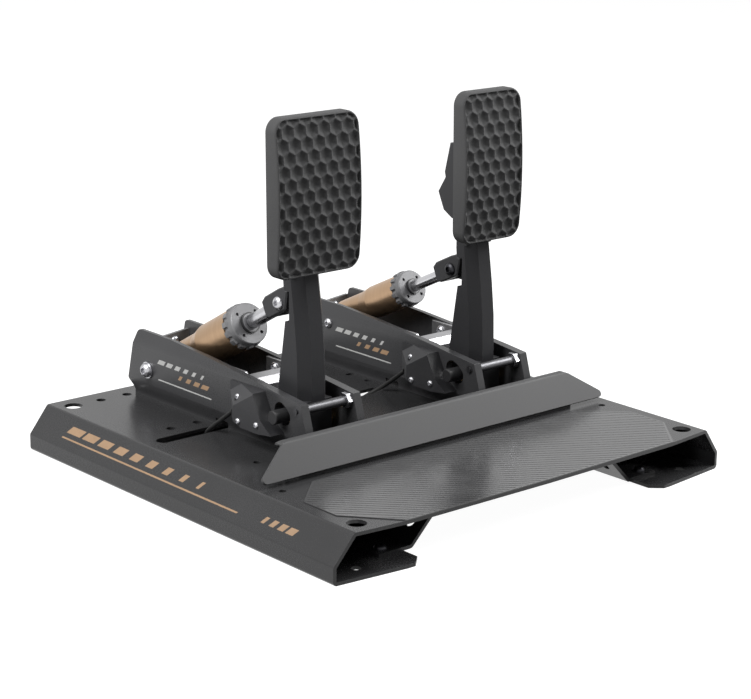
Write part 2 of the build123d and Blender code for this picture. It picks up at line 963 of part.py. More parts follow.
bracket_screw = domed_screw(m5_radius, m5_head, m5_head_height, plate_screw_depth)
bridge_screw = domed_screw(m5_radius, m5_head, m5_head_height, bridge_thickness)
ear_inner = plate_gap_half - ear_thickness
with BuildPart() as bracket_screws:
    with Locations(seat_left(throttle.x - plate_outer, *plug_spot)):
        add(bracket_screw)
    for pedal in pedals:
        with Locations(
            seat_right(pedal.x - ear_inner, ear_screw_y, ear_screw_z),
            seat_left(pedal.x + ear_inner, ear_screw_y, ear_screw_z),
        ):
            add(bracket_screw)
        with Locations(
            seat_front(pedal.x - bridge_screw_x, pedal.bridge_y, bridge_screw_z),
            seat_front(pedal.x + bridge_screw_x, pedal.bridge_y, bridge_screw_z),
        ):
            add(bridge_screw)
finish(bracket_screws, "bracket_screws")

# Cross rods with a domed left end, and their nuts against the right plates
with BuildPart() as tie_rods:
    for pedal in pedals:
        left = pedal.x - plate_outer
        rod_x((tie_y, tie_z), tie_radius, left, pedal.x + plate_outer)
        rod_x((tie_y, tie_z), tie_radius * hex_depth_share, left - tie_end, left)
finish(tie_rods, "tie_rods")
fastened(
    "tie_nuts",
    hex_nut(tie_nut_flats, tie_nut_length, tie_radius),
    [seat_left(pedal.x + plate_gap_half, tie_y, tie_z) for pedal in pedals],
)

# Pivot axles: shoulder bolts held in both plates
with BuildPart() as pivot_axles:
    axle_length = 2 * plate_outer
    for pedal in pedals:
        with Locations(seat_right(pedal.x + plate_outer, pivot_y, pivot_z)):
            add(domed_screw(pivot_radius, m8_head, m8_head_height, axle_length))
finish(pivot_axles, "pivot_axles")

fastened(
    "rear_pivot_bolts",
    domed_screw(
        eye_pin_radius,
        m8_head,
        m8_head_height,
        2 * plate_outer + m8_nut_length,
        washer=m8_washer,
        washer_height=m8_washer_height,
    ),
    [seat_left(pedal.x - plate_outer, *pedal.rear) for pedal in pedals],
)
fastened(
    "rear_pivot_nuts",
    hex_nut(m8_nut_flats, m8_nut_length, eye_pin_radius),
    [seat_right(pedal.x + plate_outer, *pedal.rear) for pedal in pedals],
)
with BuildPart() as pivot_spacers:
    for pedal in pedals:
        for side in (-1, 1):
            start = pedal.x + side * (eye_half + side_gap)
            end = pedal.x + side * plate_gap_half
            rod_x(pedal.rear, spacer_radius, start, end)
            rod_x(pedal.rear, eye_pin_radius, start, end, Mode.SUBTRACT)
finish(pivot_spacers, "pivot_spacers")


def box_planes(pedal):
    """The two slanted faces that cut a sensor box: its rear and its upper back corner."""
    outer = pedal.x - plate_outer
    face = outer - box_depth
    rear_y = box_front_y + box_length
    run = rear_y - box_rear_slant
    rear = Plane(origin=(face, box_rear_slant, box_low_z), z_dir=(-run, box_depth - box_lid, 0))
    across, back, up = box_bevel_angles
    corner = Plane(origin=(face, box_bevel_y, box_bevel_z), z_dir=(-across, back, up))
    return rear, corner


def lead_end(start, toward):
    """A plane at one end of the lead that looks along it."""
    return Plane(origin=start, z_dir=Vector(*toward) - Vector(*start))


def sensor_box(pedal, entry):
    """Moulded housing, its lid and the circuit board between them, on the left plate."""
    outer = pedal.x - plate_outer
    face = outer - box_depth
    outline = [(box_front_y + a * box_length, box_low_z + b * box_height) for a, b in box_outline_shares]
    rear, corner = box_planes(pedal)
    with BuildPart() as housing:
        prism_x(outline, outer - box_lid, face)
        split(bisect_by=rear, keep=Keep.BOTTOM)
        split(bisect_by=corner, keep=Keep.BOTTOM)
        open_side = housing.faces().filter_by(Axis.X).sort_by(Axis.X)[-1]
        offset(amount=-box_wall, openings=open_side, kind=Kind.INTERSECTION)
        for spot in box_screw_spots:
            rod_x(spot, box_screw_head, outer - box_lid, face)
            rod_x(spot, box_screw_radius, outer - box_lid, face, Mode.SUBTRACT)
        rod_x(box_upper_screw, box_screw_head, outer - box_lid, outer - box_upper_seat)
        rod_x(box_upper_screw, box_screw_radius, outer - box_lid, outer - box_upper_seat, Mode.SUBTRACT)
        rod_x(
            box_upper_screw,
            box_screw_head + bolt_hole_gap,
            outer - box_upper_seat,
            face - cut_overrun,
            Mode.SUBTRACT,
        )
        with BuildSketch(entry):
            Circle(lead_radius + lead_clearance)
        extrude(amount=box_depth, both=True, mode=Mode.SUBTRACT)
        with Locations((face + box_depth / 2, socket_y, box_low_z)):
            Box(socket_width, socket_height, 4 * box_wall, mode=Mode.SUBTRACT)
    finish(housing, f"{pedal.name}_sensor_housing")
    with BuildPart() as lid:
        prism_x(outline, outer, outer - box_lid)
        for spot in (*box_screw_spots, box_upper_screw):
            rod_x(spot, box_screw_radius, outer, outer - box_lid, Mode.SUBTRACT)
    finish(lid, f"{pedal.name}_sensor_lid")
    with BuildPart() as board:
        with Locations((outer - box_lid - board_thickness / 2, board_y, board_z)):
            Box(board_thickness, board_length, board_height)
    finish(board, f"{pedal.name}_sensor_board")


lead_ends = (lead_end(lead_route[0], lead_route[1]), lead_end(lead_route[-1], lead_route[-2]))
for pedal, entry in zip(pedals, lead_ends):
    sensor_box(pedal, entry)



def box_screw(grip):
    """Small screw through a sensor box of a given depth and into the plate."""
    return domed_screw(box_screw_radius, box_screw_head, box_screw_head_height, grip + plate_screw_depth)


with BuildPart() as sensor_screws:
    for pedal in pedals:
        outer = pedal.x - plate_outer
        for spot in box_screw_spots:
            with Locations(seat_left(outer - box_depth, *spot)):
                add(box_screw(box_depth))
        with Locations(seat_left(outer - box_upper_seat, *box_upper_screw)):
            add(box_screw(box_upper_seat))
finish(sensor_screws, "sensor_screws")

# Lead from box to box, through both slots and under the base
route = [Vector(*point) for point in lead_route]
lead_radii = []
for before, here, after in zip(route, route[1:], route[2:]):
    turn = math.radians((here - before).get_angle(after - here))
    shorter = min((here - before).length, (after - here).length)
    lead_radii.append(arc_share * shorter / math.tan(turn / 2))
print("lead arc radii", [round(radius, 1) for radius in lead_radii])
with BuildPart() as link_lead:
    with BuildLine() as lead_path:
        FilletPolyline(*route, radius=lead_radii)
    with BuildSketch(lead_ends[0]):
        Circle(lead_radius)
    sweep(path=lead_path.wire())
lead_length = lead_path.wire().length
full_volume = math.pi * lead_radius**2 * lead_length
print("lead volume / (section x length)", round(link_lead.part.volume / full_volume, 4))
finish(link_lead, "link_lead")

with BuildPart() as lead_clips:
    for x, y, z in zip(clip_xs, clip_ys, clip_zs):
        with Locations((x, y, (clip_low + base_under) / 2)):
            Box(clip_width, clip_length, base_under - clip_low)
        rod_x((y, z), lead_radius + 2 * lead_clearance, x - clip_width, x + clip_width, Mode.SUBTRACT)
finish(lead_clips, "lead_clips")


def pedal_arm(pedal):
    """Arm with a bevelled front, a foot round the pivot and a tongue for the clevis."""
    front = [(arm_foot_front + b * arm_depth, arm_foot_top + a * arm_height) for a, b in arm_front_shares]
    back = [(arm_foot_front + b * arm_depth, arm_foot_top + a * arm_height) for a, b in arm_back_shares]
    nose = front + back
    flank = [(y + arm_bevel_depth, z) for y, z in front] + back
    hole_radius = pin_radius + pin_slack
    with BuildPart() as arm:
        prism_x(nose, pedal.x - arm_nose_half, pedal.x + arm_nose_half)
        for side in (-1, 1):
            nose_plane = Plane.YZ.offset(pedal.x + side * arm_nose_half)
            flank_plane = Plane.YZ.offset(pedal.x + side * arm_half)
            with BuildSketch(nose_plane, mode=Mode.PRIVATE) as near_nose:
                with BuildLine():
                    Polyline(*nose, close=True)
                make_face()
            with BuildSketch(flank_plane, mode=Mode.PRIVATE) as at_flank:
                with BuildLine():
                    Polyline(*flank, close=True)
                make_face()
            loft(sections=(near_nose.sketch.face(), at_flank.sketch.face()), ruled=True)
        prism_x(
            (
                (arm_foot_front, arm_foot_low + arm_foot_corner),
                (arm_foot_front, arm_foot_top),
                (arm_foot_back, arm_foot_top),
                (arm_foot_back, arm_foot_low + arm_foot_corner),
                (arm_foot_back - arm_foot_corner, arm_foot_low),
                (arm_foot_front + arm_foot_corner, arm_foot_low),
            ),
            pedal.x - arm_half,
            pedal.x + arm_half,
        )
        holder_back = holder_thickness
        prism_x(
            (
                (pad_back(arm_shoulder_z) + holder_back, back[0][1] - cut_overrun),
                (pad_back(arm_top) + holder_back, arm_top),
                (pad_back(arm_top) + holder_back + arm_top_thickness, arm_top),
                (back[0][0], back[0][1] - cut_overrun),
            ),
            pedal.x - arm_half,
            pedal.x + arm_half,
        )
        for side in (-1, 1):
            prism_x(
                (
                    (notch_floor, notch_low),
                    (notch_floor, notch_top),
                    (pin_y, notch_top),
                    (pin_y, notch_low),
                ),
                pedal.x + side * tongue_half,
                pedal.x + side * (arm_half + cut_overrun),
                Mode.SUBTRACT,
            )
        prism_x(
            (
                (notch_floor, pin_z - tongue_radius),
                (notch_floor, pin_z + tongue_radius),
                (pin_y, pin_z + tongue_radius),
                (pin_y, pin_z - tongue_radius),
            ),
            pedal.x - tongue_half,
            pedal.x + tongue_half,
        )
        rod_x((pin_y, pin_z), tongue_radius, pedal.x - tongue_half, pedal.x + tongue_half)
        rod_x((pin_y, pin_z), hole_radius, pedal.x - tongue_half, pedal.x + tongue_half, Mode.SUBTRACT)
        rod_x(pivot, bush_radius, pedal.x - arm_half, pedal.x + arm_half, Mode.SUBTRACT)
        rod_x((post_y, post_z), m6_radius, pedal.x - arm_half, pedal.x, Mode.SUBTRACT)
        for z in cheek_bolt_zs:
            spot = (pad_back(z) + cheek_bolt_back, z)
            rod_x(spot, m5_radius, pedal.x - arm_half, pedal.x + arm_half, Mode.SUBTRACT)
    finish(arm, f"{pedal.name}_arm")
    with BuildPart() as bushes:
        for side in (-1, 1):
            flange = pedal.x + side * arm_half
            rod_x(pivot, bush_radius, flange, flange - side * (arm_half - pivot_radius))
            rod_x(pivot, bush_flange, flange, pedal.x + side * (plate_gap_half - side_gap))
        bore = pivot_radius + running_gap
        rod_x(pivot, bore, pedal.x - plate_outer, pedal.x + plate_outer, Mode.SUBTRACT)
    finish(bushes, f"{pedal.name}_arm_bushes")
    with BuildPart() as post:
        end = pedal.x - plate_outer - post_reach
        rod_x((post_y, post_z), post_radius, pedal.x - arm_half, end)
        chamfer(post.edges().sort_by(Axis.X)[0], post_edge)
        rod_x((post_y, post_z), m6_radius, pedal.x - arm_half, pedal.x)
    finish(post, f"{pedal.name}_magnet_post")


for pedal in pedals:
    pedal_arm(pedal)


def pad_holder(pedal):
    """Bracket with two cheeks that bolts the pad to the arm."""
    with BuildPart() as holder:
        prism_x(
            (
                (pad_back(holder_low_z), holder_low_z),
                (pad_back(holder_top_z), holder_top_z),
                (pad_back(holder_top_z) + holder_thickness, holder_top_z),
                (pad_back(holder_low_z) + holder_thickness, holder_low_z),
            ),
            pedal.x - holder_half_width,
            pedal.x + holder_half_width,
        )
        tall = pedal.holder_cheek_top - pedal.holder_cheek_low
        cheek = []
        for back, up in pedal.holder_cheek_shares:
            z = pedal.holder_cheek_low + up * tall
            cheek.append((pad_back(z) + holder_thickness / 2 + back * pedal.holder_cheek_depth, z))
        for side in (-1, 1):
            start = pedal.x + side * arm_half
            prism_x(cheek, start, start + side * holder_thickness)
        for z in cheek_bolt_zs:
            spot = (pad_back(z) + cheek_bolt_back, z)
            reach = arm_half + holder_thickness
            rod_x(spot, m5_radius + bolt_hole_gap, pedal.x - reach, pedal.x + reach, Mode.SUBTRACT)
        for z in holder_screw_zs:
            for x in (-holder_screw_x, holder_screw_x):
                with BuildSketch(seat_pad(pedal.x + x, z)):
                    Circle(m5_radius + bolt_hole_gap)
                extrude(amount=-2 * holder_thickness, mode=Mode.SUBTRACT)
    finish(holder, f"{pedal.name}_pad_holder")


def pad(pedal):
    """Pad with a flat back and a bowed front with rounded edges."""
    half = pedal.pad_width / 2
    middle = (pedal.pad_low + pedal.pad_top) / 2
    tall = pedal.pad_top - pedal.pad_low
    front_points = (
        (pad_back(pedal.pad_low) - pad_low_thickness, pedal.pad_low),
        (pad_back(middle) - pad_middle_thickness, middle),
        (pad_back(pedal.pad_top) - pad_top_thickness, pedal.pad_top),
    )
    with BuildPart() as block:
        with BuildSketch(Plane.YZ.offset(pedal.x - half)) as side_view:
            with BuildLine():
                ThreePointArc(*front_points)
                Line(front_points[2], (pad_back(pedal.pad_top), pedal.pad_top))
                Line((pad_back(pedal.pad_top), pedal.pad_top), (pad_back(pedal.pad_low), pedal.pad_low))
                Line((pad_back(pedal.pad_low), pedal.pad_low), front_points[0])
            make_face()
        extrude(amount=pedal.pad_width)
        with BuildSketch(Plane.XZ):
            with Locations((pedal.x, middle)):
                RectangleRounded(pedal.pad_width, tall, pad_corner)
        extrude(amount=tall, both=True, mode=Mode.INTERSECT)
        front = block.faces().sort_by(Axis.Y)[0]
        fillet(front.edges(), pad_front_edge)
        for z in holder_screw_zs:
            for x in (-holder_screw_x, holder_screw_x):
                with BuildSketch(seat_pad(pedal.x + x, z)):
                    Circle(m5_radius)
                extrude(amount=-(holder_thickness + plate_screw_depth), mode=Mode.SUBTRACT)
    finish(block, f"{pedal.name}_pad")


for pedal in pedals:
    pad_holder(pedal)
    pad(pedal)
    seats = []
    for z in holder_screw_zs:
        for x in (-holder_screw_x, holder_screw_x):
            seats.append(seat_pad(pedal.x + x, z))
    reach = arm_half + holder_thickness
    for z in cheek_bolt_zs:
        seats.append(seat_left(pedal.x - reach, pad_back(z) + cheek_bolt_back, z))
        seats.append(seat_right(pedal.x + reach, pad_back(z) + cheek_bolt_back, z))
    long_enough = holder_thickness + plate_screw_depth
    fastened(
        f"{pedal.name}_pad_screws",
        domed_screw(m5_radius, m5_head, m5_head_height, long_enough),
        seats,
    )


def cylinder(pedal):
    """Anodised cylinder with its eye, and the screwed-in front plug with its neck."""
    body_end = ring_start - ring_gap
    with BuildPart() as barrel:
        turned(
            pedal.axis,
            (
                (eye_shoulder / 2, 0),
                (eye_shoulder / 2, eye_radius),
                (eye_shoulder, pedal.housing - eye_gap - cup_gap),
                (eye_shoulder + pedal.housing / 4, pedal.housing),
                (pedal.cone_start, pedal.housing),
                (pedal.body_start, pedal.body),
                (body_end, pedal.body),
                (body_end, 0),
            ),
        )
        with BuildSketch(pedal.axis):
            Circle(eye_radius)
            with Locations((eye_shoulder / 2, 0)):
                Rectangle(eye_shoulder, 2 * eye_radius)
        extrude(amount=eye_half, both=True)
        rod_x(
            pedal.rear,
            eye_pin_radius + eye_gap,
            pedal.x - plate_gap_half,
            pedal.x + plate_gap_half,
            Mode.SUBTRACT,
        )
        turned(
            pedal.axis,
            (
                (pedal.spring_start, 0),
                (pedal.spring_start, pedal.housing - 2 * holder_thickness),
                (pedal.cone_start, pedal.housing - 2 * holder_thickness),
                (pedal.body_start, pedal.chamber),
                (body_end, pedal.chamber),
                (body_end, 0),
            ),
            Mode.SUBTRACT,
        )
    finish(barrel, f"{pedal.name}_cylinder")
    with BuildPart() as plug:
        turned(
            pedal.axis,
            (
                (pedal.plug_start, pedal.rod + running_gap),
                (pedal.plug_start, pedal.chamber),
                (body_end, pedal.chamber),
                (body_end, pedal.neck),
                (pedal.neck_end, pedal.neck),
                (pedal.neck_end, pedal.rod + running_gap),
            ),
        )
    finish(plug, f"{pedal.name}_front_plug")
    with BuildPart() as clip:
        turned(
            pedal.axis,
            (
                (pedal.clip_start, pedal.neck),
                (pedal.clip_start, pedal.clip),
                (pedal.neck_end, pedal.clip),
                (pedal.neck_end, pedal.neck),
            ),
        )
    finish(clip, f"{pedal.name}_retaining_ring")


def preload_ring(pedal):
    """Notched adjuster ring that turns on the plug's neck."""
    bore = pedal.neck + running_gap
    flange_end = ring_start + ring_flange_length
    with BuildPart() as ring:
        turned(
            pedal.axis,
            (
                (ring_start, bore),
                (ring_start, pedal.ring_flange),
                (flange_end, pedal.ring_flange),
                (flange_end + ring_edge, pedal.ring),
                (pedal.ring_end - ring_edge, pedal.ring),
                (pedal.ring_end, pedal.ring - ring_edge),
                (pedal.ring_end, bore),
            ),
        )
        back = Plane(
            origin=pedal.axis.origin + pedal.along * ring_start,
            x_dir=(1, 0, 0),
            z_dir=pedal.along,
        )
        with BuildSketch(back) as notches:
            with PolarLocations(pedal.ring_flange, ring_notches):
                Circle(ring_notch)
        extrude(notches.sketch, amount=ring_flange_length + ring_edge, mode=Mode.SUBTRACT)
        with BuildSketch(back.offset(pedal.ring_length)) as pin_holes:
            with PolarLocations(pedal.ring_pin_circle, ring_pin_holes, start_angle=45):
                Circle(ring_pin_hole)
        extrude(pin_holes.sketch, amount=-ring_pin_depth, mode=Mode.SUBTRACT)
    finish(ring, f"{pedal.name}_preload_ring")


def push_rod(pedal):
    """Polished rod with the piston at one end and a threaded tip in the clevis."""
    thread = pedal.rod * thread_share
    tip = pedal.length - clevis_slot_depth - cup_gap
    with BuildPart() as rod:
        turned(
            pedal.axis,
            (
                (pedal.piston_back, 0),
                (pedal.piston_back, pedal.chamber - piston_gap),
                (pedal.piston_front, pedal.chamber - piston_gap),
                (pedal.piston_front, pedal.rod),
                (pedal.clevis_back, pedal.rod),
                (pedal.clevis_back, thread),
                (tip, thread),
                (tip, 0),
            ),
        )
    finish(rod, f"{pedal.name}_push_rod")


def clevis(pedal):
    """Forked end of the rod, and the pin through it and the arm's tongue."""
    pin_plane = Plane(origin=(pedal.x, pin_y, pin_z), x_dir=pedal.along * -1, z_dir=(1, 0, 0))
    outline = [(a * clevis_length, b * clevis_rise) for a, b in clevis_outline_shares]
    thread = pedal.rod * thread_share
    with BuildPart() as fork:
        with BuildSketch(pin_plane):
            with BuildLine():
                Polyline(*outline, close=True)
            make_face()
        extrude(amount=clevis_half, both=True)
        chamfer(fork.edges().filter_by(Axis.X, reverse=True), clevis_edge)
        with BuildSketch(pin_plane):
            with Locations((clevis_slot_depth / 2 - clevis_length / 2, 0)):
                Rectangle(clevis_length + clevis_slot_depth, 2 * clevis_rise)
        extrude(amount=clevis_gap_half, both=True, mode=Mode.SUBTRACT)
        turned(
            pedal.axis,
            (
                (pedal.clevis_back - cut_overrun, 0),
                (pedal.clevis_back - cut_overrun, thread),
                (pedal.length, thread),
                (pedal.length, 0),
            ),
            Mode.SUBTRACT,
        )
        rod_x((pin_y, pin_z), pin_radius, pedal.x - clevis_half, pedal.x + clevis_half, Mode.SUBTRACT)
    finish(fork, f"{pedal.name}_clevis")
    with BuildPart() as pin:
        with Locations(seat_left(pedal.x - clevis_half, pin_y, pin_z)):
            add(domed_screw(pin_radius, pin_head, m6_head_height, 2 * clevis_half))
    finish(pin, f"{pedal.name}_clevis_pin")


for pedal in pedals:
    cylinder(pedal)
    preload_ring(pedal)
    push_rod(pedal)
    clevis(pedal)

# Rubber stack in the brake cylinder
stack_rings = 4
stack_radius = 9.6
stack_gap = 0.2
with BuildPart() as brake_elastomers:
    start = brake.spring_start + cup_gap
    pitch = (brake.piston_back - cup_gap - start) / stack_rings
    for number in range(stack_rings):
        near = start + number * pitch
        far = near + pitch - stack_gap
        turned(
            brake.axis,
            (
                (near, 0),
                (near, stack_radius - ring_edge),
                (near + ring_edge, stack_radius),
                (far - ring_edge, stack_radius),
                (far, stack_radius - ring_edge),
                (far, 0),
            ),
        )
finish(brake_elastomers, "brake_elastomers")

# Return spring in the throttle cylinder
wire_radius = 0.9
coil_radius = 6.2
coil_turns = 9
with BuildPart() as throttle_spring:
    start = throttle.spring_start + cup_gap + wire_radius
    span = throttle.piston_back - cup_gap - wire_radius - start
    coil_start = throttle.axis.origin + throttle.along * start
    with BuildLine() as coil:
        Helix(
            pitch=span / coil_turns,
            height=span,
            radius=coil_radius,
            center=coil_start,
            direction=throttle.along,
        )
    with BuildSketch(Plane(origin=coil.wire() @ 0, z_dir=coil.wire() % 0)):
        Circle(wire_radius)
    sweep(path=coil.wire(), is_frenet=True)
finish(throttle_spring, "throttle_spring")
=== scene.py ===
import bmesh
import bpy
import json
import math
from mathutils import Matrix, Vector


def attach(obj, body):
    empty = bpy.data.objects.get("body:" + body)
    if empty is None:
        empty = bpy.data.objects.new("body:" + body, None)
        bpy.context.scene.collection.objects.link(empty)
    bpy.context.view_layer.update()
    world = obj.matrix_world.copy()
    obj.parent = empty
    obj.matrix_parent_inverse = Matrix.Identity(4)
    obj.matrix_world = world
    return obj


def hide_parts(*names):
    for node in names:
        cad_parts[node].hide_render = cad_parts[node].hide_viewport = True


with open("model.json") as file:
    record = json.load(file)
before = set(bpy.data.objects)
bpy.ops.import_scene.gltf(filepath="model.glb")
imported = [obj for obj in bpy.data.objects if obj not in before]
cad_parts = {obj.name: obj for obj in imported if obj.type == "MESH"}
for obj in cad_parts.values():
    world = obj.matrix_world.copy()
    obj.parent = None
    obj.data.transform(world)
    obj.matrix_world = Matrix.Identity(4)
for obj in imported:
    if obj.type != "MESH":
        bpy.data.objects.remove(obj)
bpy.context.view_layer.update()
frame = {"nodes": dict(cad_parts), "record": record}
nodes = frame["nodes"]
MM = 0.001

# Places and lengths below are in millimetres unless a comment says metres.
# Lengths along Y are from the middle of the base's straight sides, which
# lies this far behind the frame's origin.
SET_BACK = 5.0
brake_x = -92.2
throttle_x = 103.2
weld_distance = 1e-6  # metres


# Material building blocks

class Finish:
    """One material: a shader, its object coordinates and the nodes that vary it."""

    def __init__(self, name, metallic=0.0, specular=0.5, coat=0.0, coat_roughness=0.2, sheen=0.0):
        self.material = bpy.data.materials.new(name)
        self.material.use_nodes = True
        self.tree = self.material.node_tree
        self.shader = self.tree.nodes["Principled BSDF"]
        self.shader.inputs["Metallic"].default_value = metallic
        self.shader.inputs["Specular IOR Level"].default_value = specular
        self.shader.inputs["Coat Weight"].default_value = coat
        self.shader.inputs["Coat Roughness"].default_value = coat_roughness
        self.shader.inputs["Sheen Weight"].default_value = sheen
        self.place = self.add("ShaderNodeTexCoord").outputs["Object"]
        self.heights = []

    def add(self, kind, **values):
        node = self.tree.nodes.new(kind)
        for key, value in values.items():
            setattr(node, key, value)
        return node

    def join(self, start, end):
        self.tree.links.new(start, end)
        return end

    def stretched(self, scale, turn=(0, 0, 0)):
        """Object coordinates, first turned and then stretched."""
        turned = self.add("ShaderNodeMapping")
        turned.inputs["Rotation"].default_value = turn
        self.join(self.place, turned.inputs["Vector"])
        scaled = self.add("ShaderNodeMapping")
        scaled.inputs["Scale"].default_value = scale
        self.join(turned.outputs["Vector"], scaled.inputs["Vector"])
        return scaled.outputs["Vector"]

    def noise(self, scale, detail=4.0, rough=0.55, place=None):
        node = self.add("ShaderNodeTexNoise")
        node.inputs["Scale"].default_value = scale
        node.inputs["Detail"].default_value = detail
        node.inputs["Roughness"].default_value = rough
        self.join(place or self.place, node.inputs["Vector"])
        return node.outputs["Fac"]

    def span(self, value, low, high, start=0.3, end=0.7):
        node = self.add("ShaderNodeMapRange")
        for key, number in (("From Min", start), ("From Max", end), ("To Min", low), ("To Max", high)):
            node.inputs[key].default_value = number
        self.join(value, node.inputs["Value"])
        return node.outputs["Result"]

    def math(self, operation, first, second):
        node = self.add("ShaderNodeMath", operation=operation)
        for socket, value in zip(node.inputs, (first, second)):
            if isinstance(value, (int, float)):
                socket.default_value = value
            else:
                self.join(value, socket)
        return node.outputs[0]

    def blend(self, share, first, second):
        node = self.add("ShaderNodeMix", data_type="RGBA")
        colours = [socket for socket in node.inputs if socket.type == "RGBA"]
        for socket, value in zip(colours, (first, second)):
            if isinstance(value, tuple):
                socket.default_value = (*value, 1)
            else:
                self.join(value, socket)
        self.join(share, node.inputs[0])
        return next(socket for socket in node.outputs if socket.type == "RGBA")

    def colour(self, value):
        self.join(value, self.shader.inputs["Base Color"])

    def roughness(self, value):
        self.join(value, self.shader.inputs["Roughness"])

    def relief(self, height, depth, strength=1.0):
        """Adds fine relief, depth in metres, on top of any earlier relief."""
        bump = self.add("ShaderNodeBump")
        bump.inputs["Strength"].default_value = strength
        bump.inputs["Distance"].default_value = depth
        self.join(height, bump.inputs["Height"])
        if self.heights:
            self.join(self.heights[-1], bump.inputs["Normal"])
        self.heights.append(bump.outputs["Normal"])
        while self.shader.inputs["Normal"].links:
            self.tree.links.remove(self.shader.inputs["Normal"].links[0])
        self.join(bump.outputs["Normal"], self.shader.inputs["Normal"])


def shade(colour, factor):
    return tuple(min(1.0, channel * factor) for channel in colour)


def powder_coat(name, colour, rough, specular=0.35):
    """Baked satin coat: faint cloudiness, orange peel and a fine grain."""
    finish = Finish(name, specular=specular)
    cloud = finish.noise(9, 3)
    speck = finish.noise(1500, 2, 0.6)
    tone = finish.blend(finish.span(cloud, 0, 1), shade(colour, 0.9), shade(colour, 1.1))
    finish.colour(finish.blend(finish.span(speck, 0, 0.3), tone, shade(colour, 1.6)))
    cloudy = finish.span(cloud, rough - 0.03, rough + 0.03)
    finish.roughness(finish.math("ADD", cloudy, finish.span(speck, -0.03, 0.03)))
    finish.relief(finish.noise(420, 3), 0.00004, 0.5)
    finish.relief(speck, 0.00002, 0.4)
    return finish.material


def anodised(name, colour, rough, tilt, metallic=0.9, rings=700):
    """Turned and anodised metal, with fine rings round an axis that leans by tilt."""
    finish = Finish(name, metallic=metallic, specular=0.5)
    around = finish.stretched((4, rings, 4), (tilt, 0, 0))
    ring = finish.noise(1, 3, 0.6, around)
    cloud = finish.noise(25, 3)
    tone = finish.blend(finish.span(cloud, 0, 1), shade(colour, 0.93), shade(colour, 1.06))
    finish.colour(finish.blend(finish.span(ring, 0, 0.35), tone, shade(colour, 0.82)))
    finish.roughness(finish.span(ring, rough - 0.05, rough + 0.07))
    finish.relief(ring, 0.00002, 0.5)
    return finish.material


def brushed(name, colour, rough, grain=(1, 40, 40), metallic=1.0):
    """Metal with a straight grain: stretched scratches along one axis."""
    finish = Finish(name, metallic=metallic)
    scratches = finish.noise(60, 4, 0.7, finish.stretched(grain))
    cloud = finish.noise(30, 2)
    tone = finish.blend(finish.span(cloud, 0, 1), shade(colour, 0.9), shade(colour, 1.05))
    finish.colour(finish.blend(finish.span(scratches, 0, 0.5), tone, shade(colour, 0.75)))
    finish.roughness(finish.span(scratches, rough - 0.06, rough + 0.1))
    finish.relief(scratches, 0.00002, 0.5)
    return finish.material


def plated(name, colour, rough):
    """Bright plated steel with faint handling haze."""
    finish = Finish(name, metallic=1.0)
    haze = finish.noise(300, 4, 0.7)
    cloud = finish.noise(60, 2)
    finish.colour(finish.blend(finish.span(cloud, 0, 1), shade(colour, 0.9), colour))
    finish.roughness(finish.span(haze, rough - 0.05, rough + 0.1))
    finish.relief(haze, 0.00001, 0.3)
    return finish.material


def moulded(name, colour, rough, grain=1100, depth=0.00005, specular=0.25):
    """Moulded plastic or rubber with a fine spark-eroded grain."""
    finish = Finish(name, specular=specular)
    cells = finish.add("ShaderNodeTexVoronoi")
    cells.inputs["Scale"].default_value = grain
    finish.join(finish.place, cells.inputs["Vector"])
    cloud = finish.noise(40, 3)
    tone = finish.blend(finish.span(cloud, 0, 1), shade(colour, 0.88), shade(colour, 1.12))
    between_cells = finish.span(cells.outputs["Distance"], 0, 0.5, 0, 0.8)
    finish.colour(finish.blend(between_cells, tone, shade(colour, 1.4)))
    finish.roughness(finish.span(cloud, rough - 0.04, rough + 0.05))
    finish.relief(cells.outputs["Distance"], depth, 0.5)
    return finish.material


def print_ink(name, colour, rough=0.45, metallic=0.0):
    """Screen-printed ink: flat colour with a slight tooth and thin spots."""
    finish = Finish(name, specular=0.3, metallic=metallic)
    tooth = finish.noise(1600, 2, 0.7)
    cloud = finish.noise(120, 3)
    tone = finish.blend(finish.span(cloud, 0, 1), shade(colour, 0.92), shade(colour, 1.05))
    finish.colour(finish.blend(finish.span(tooth, 0, 0.4), tone, shade(colour, 0.8)))
    finish.roughness(finish.span(tooth, rough - 0.05, rough + 0.08))
    finish.relief(tooth, 0.00001, 0.3)
    return finish.material


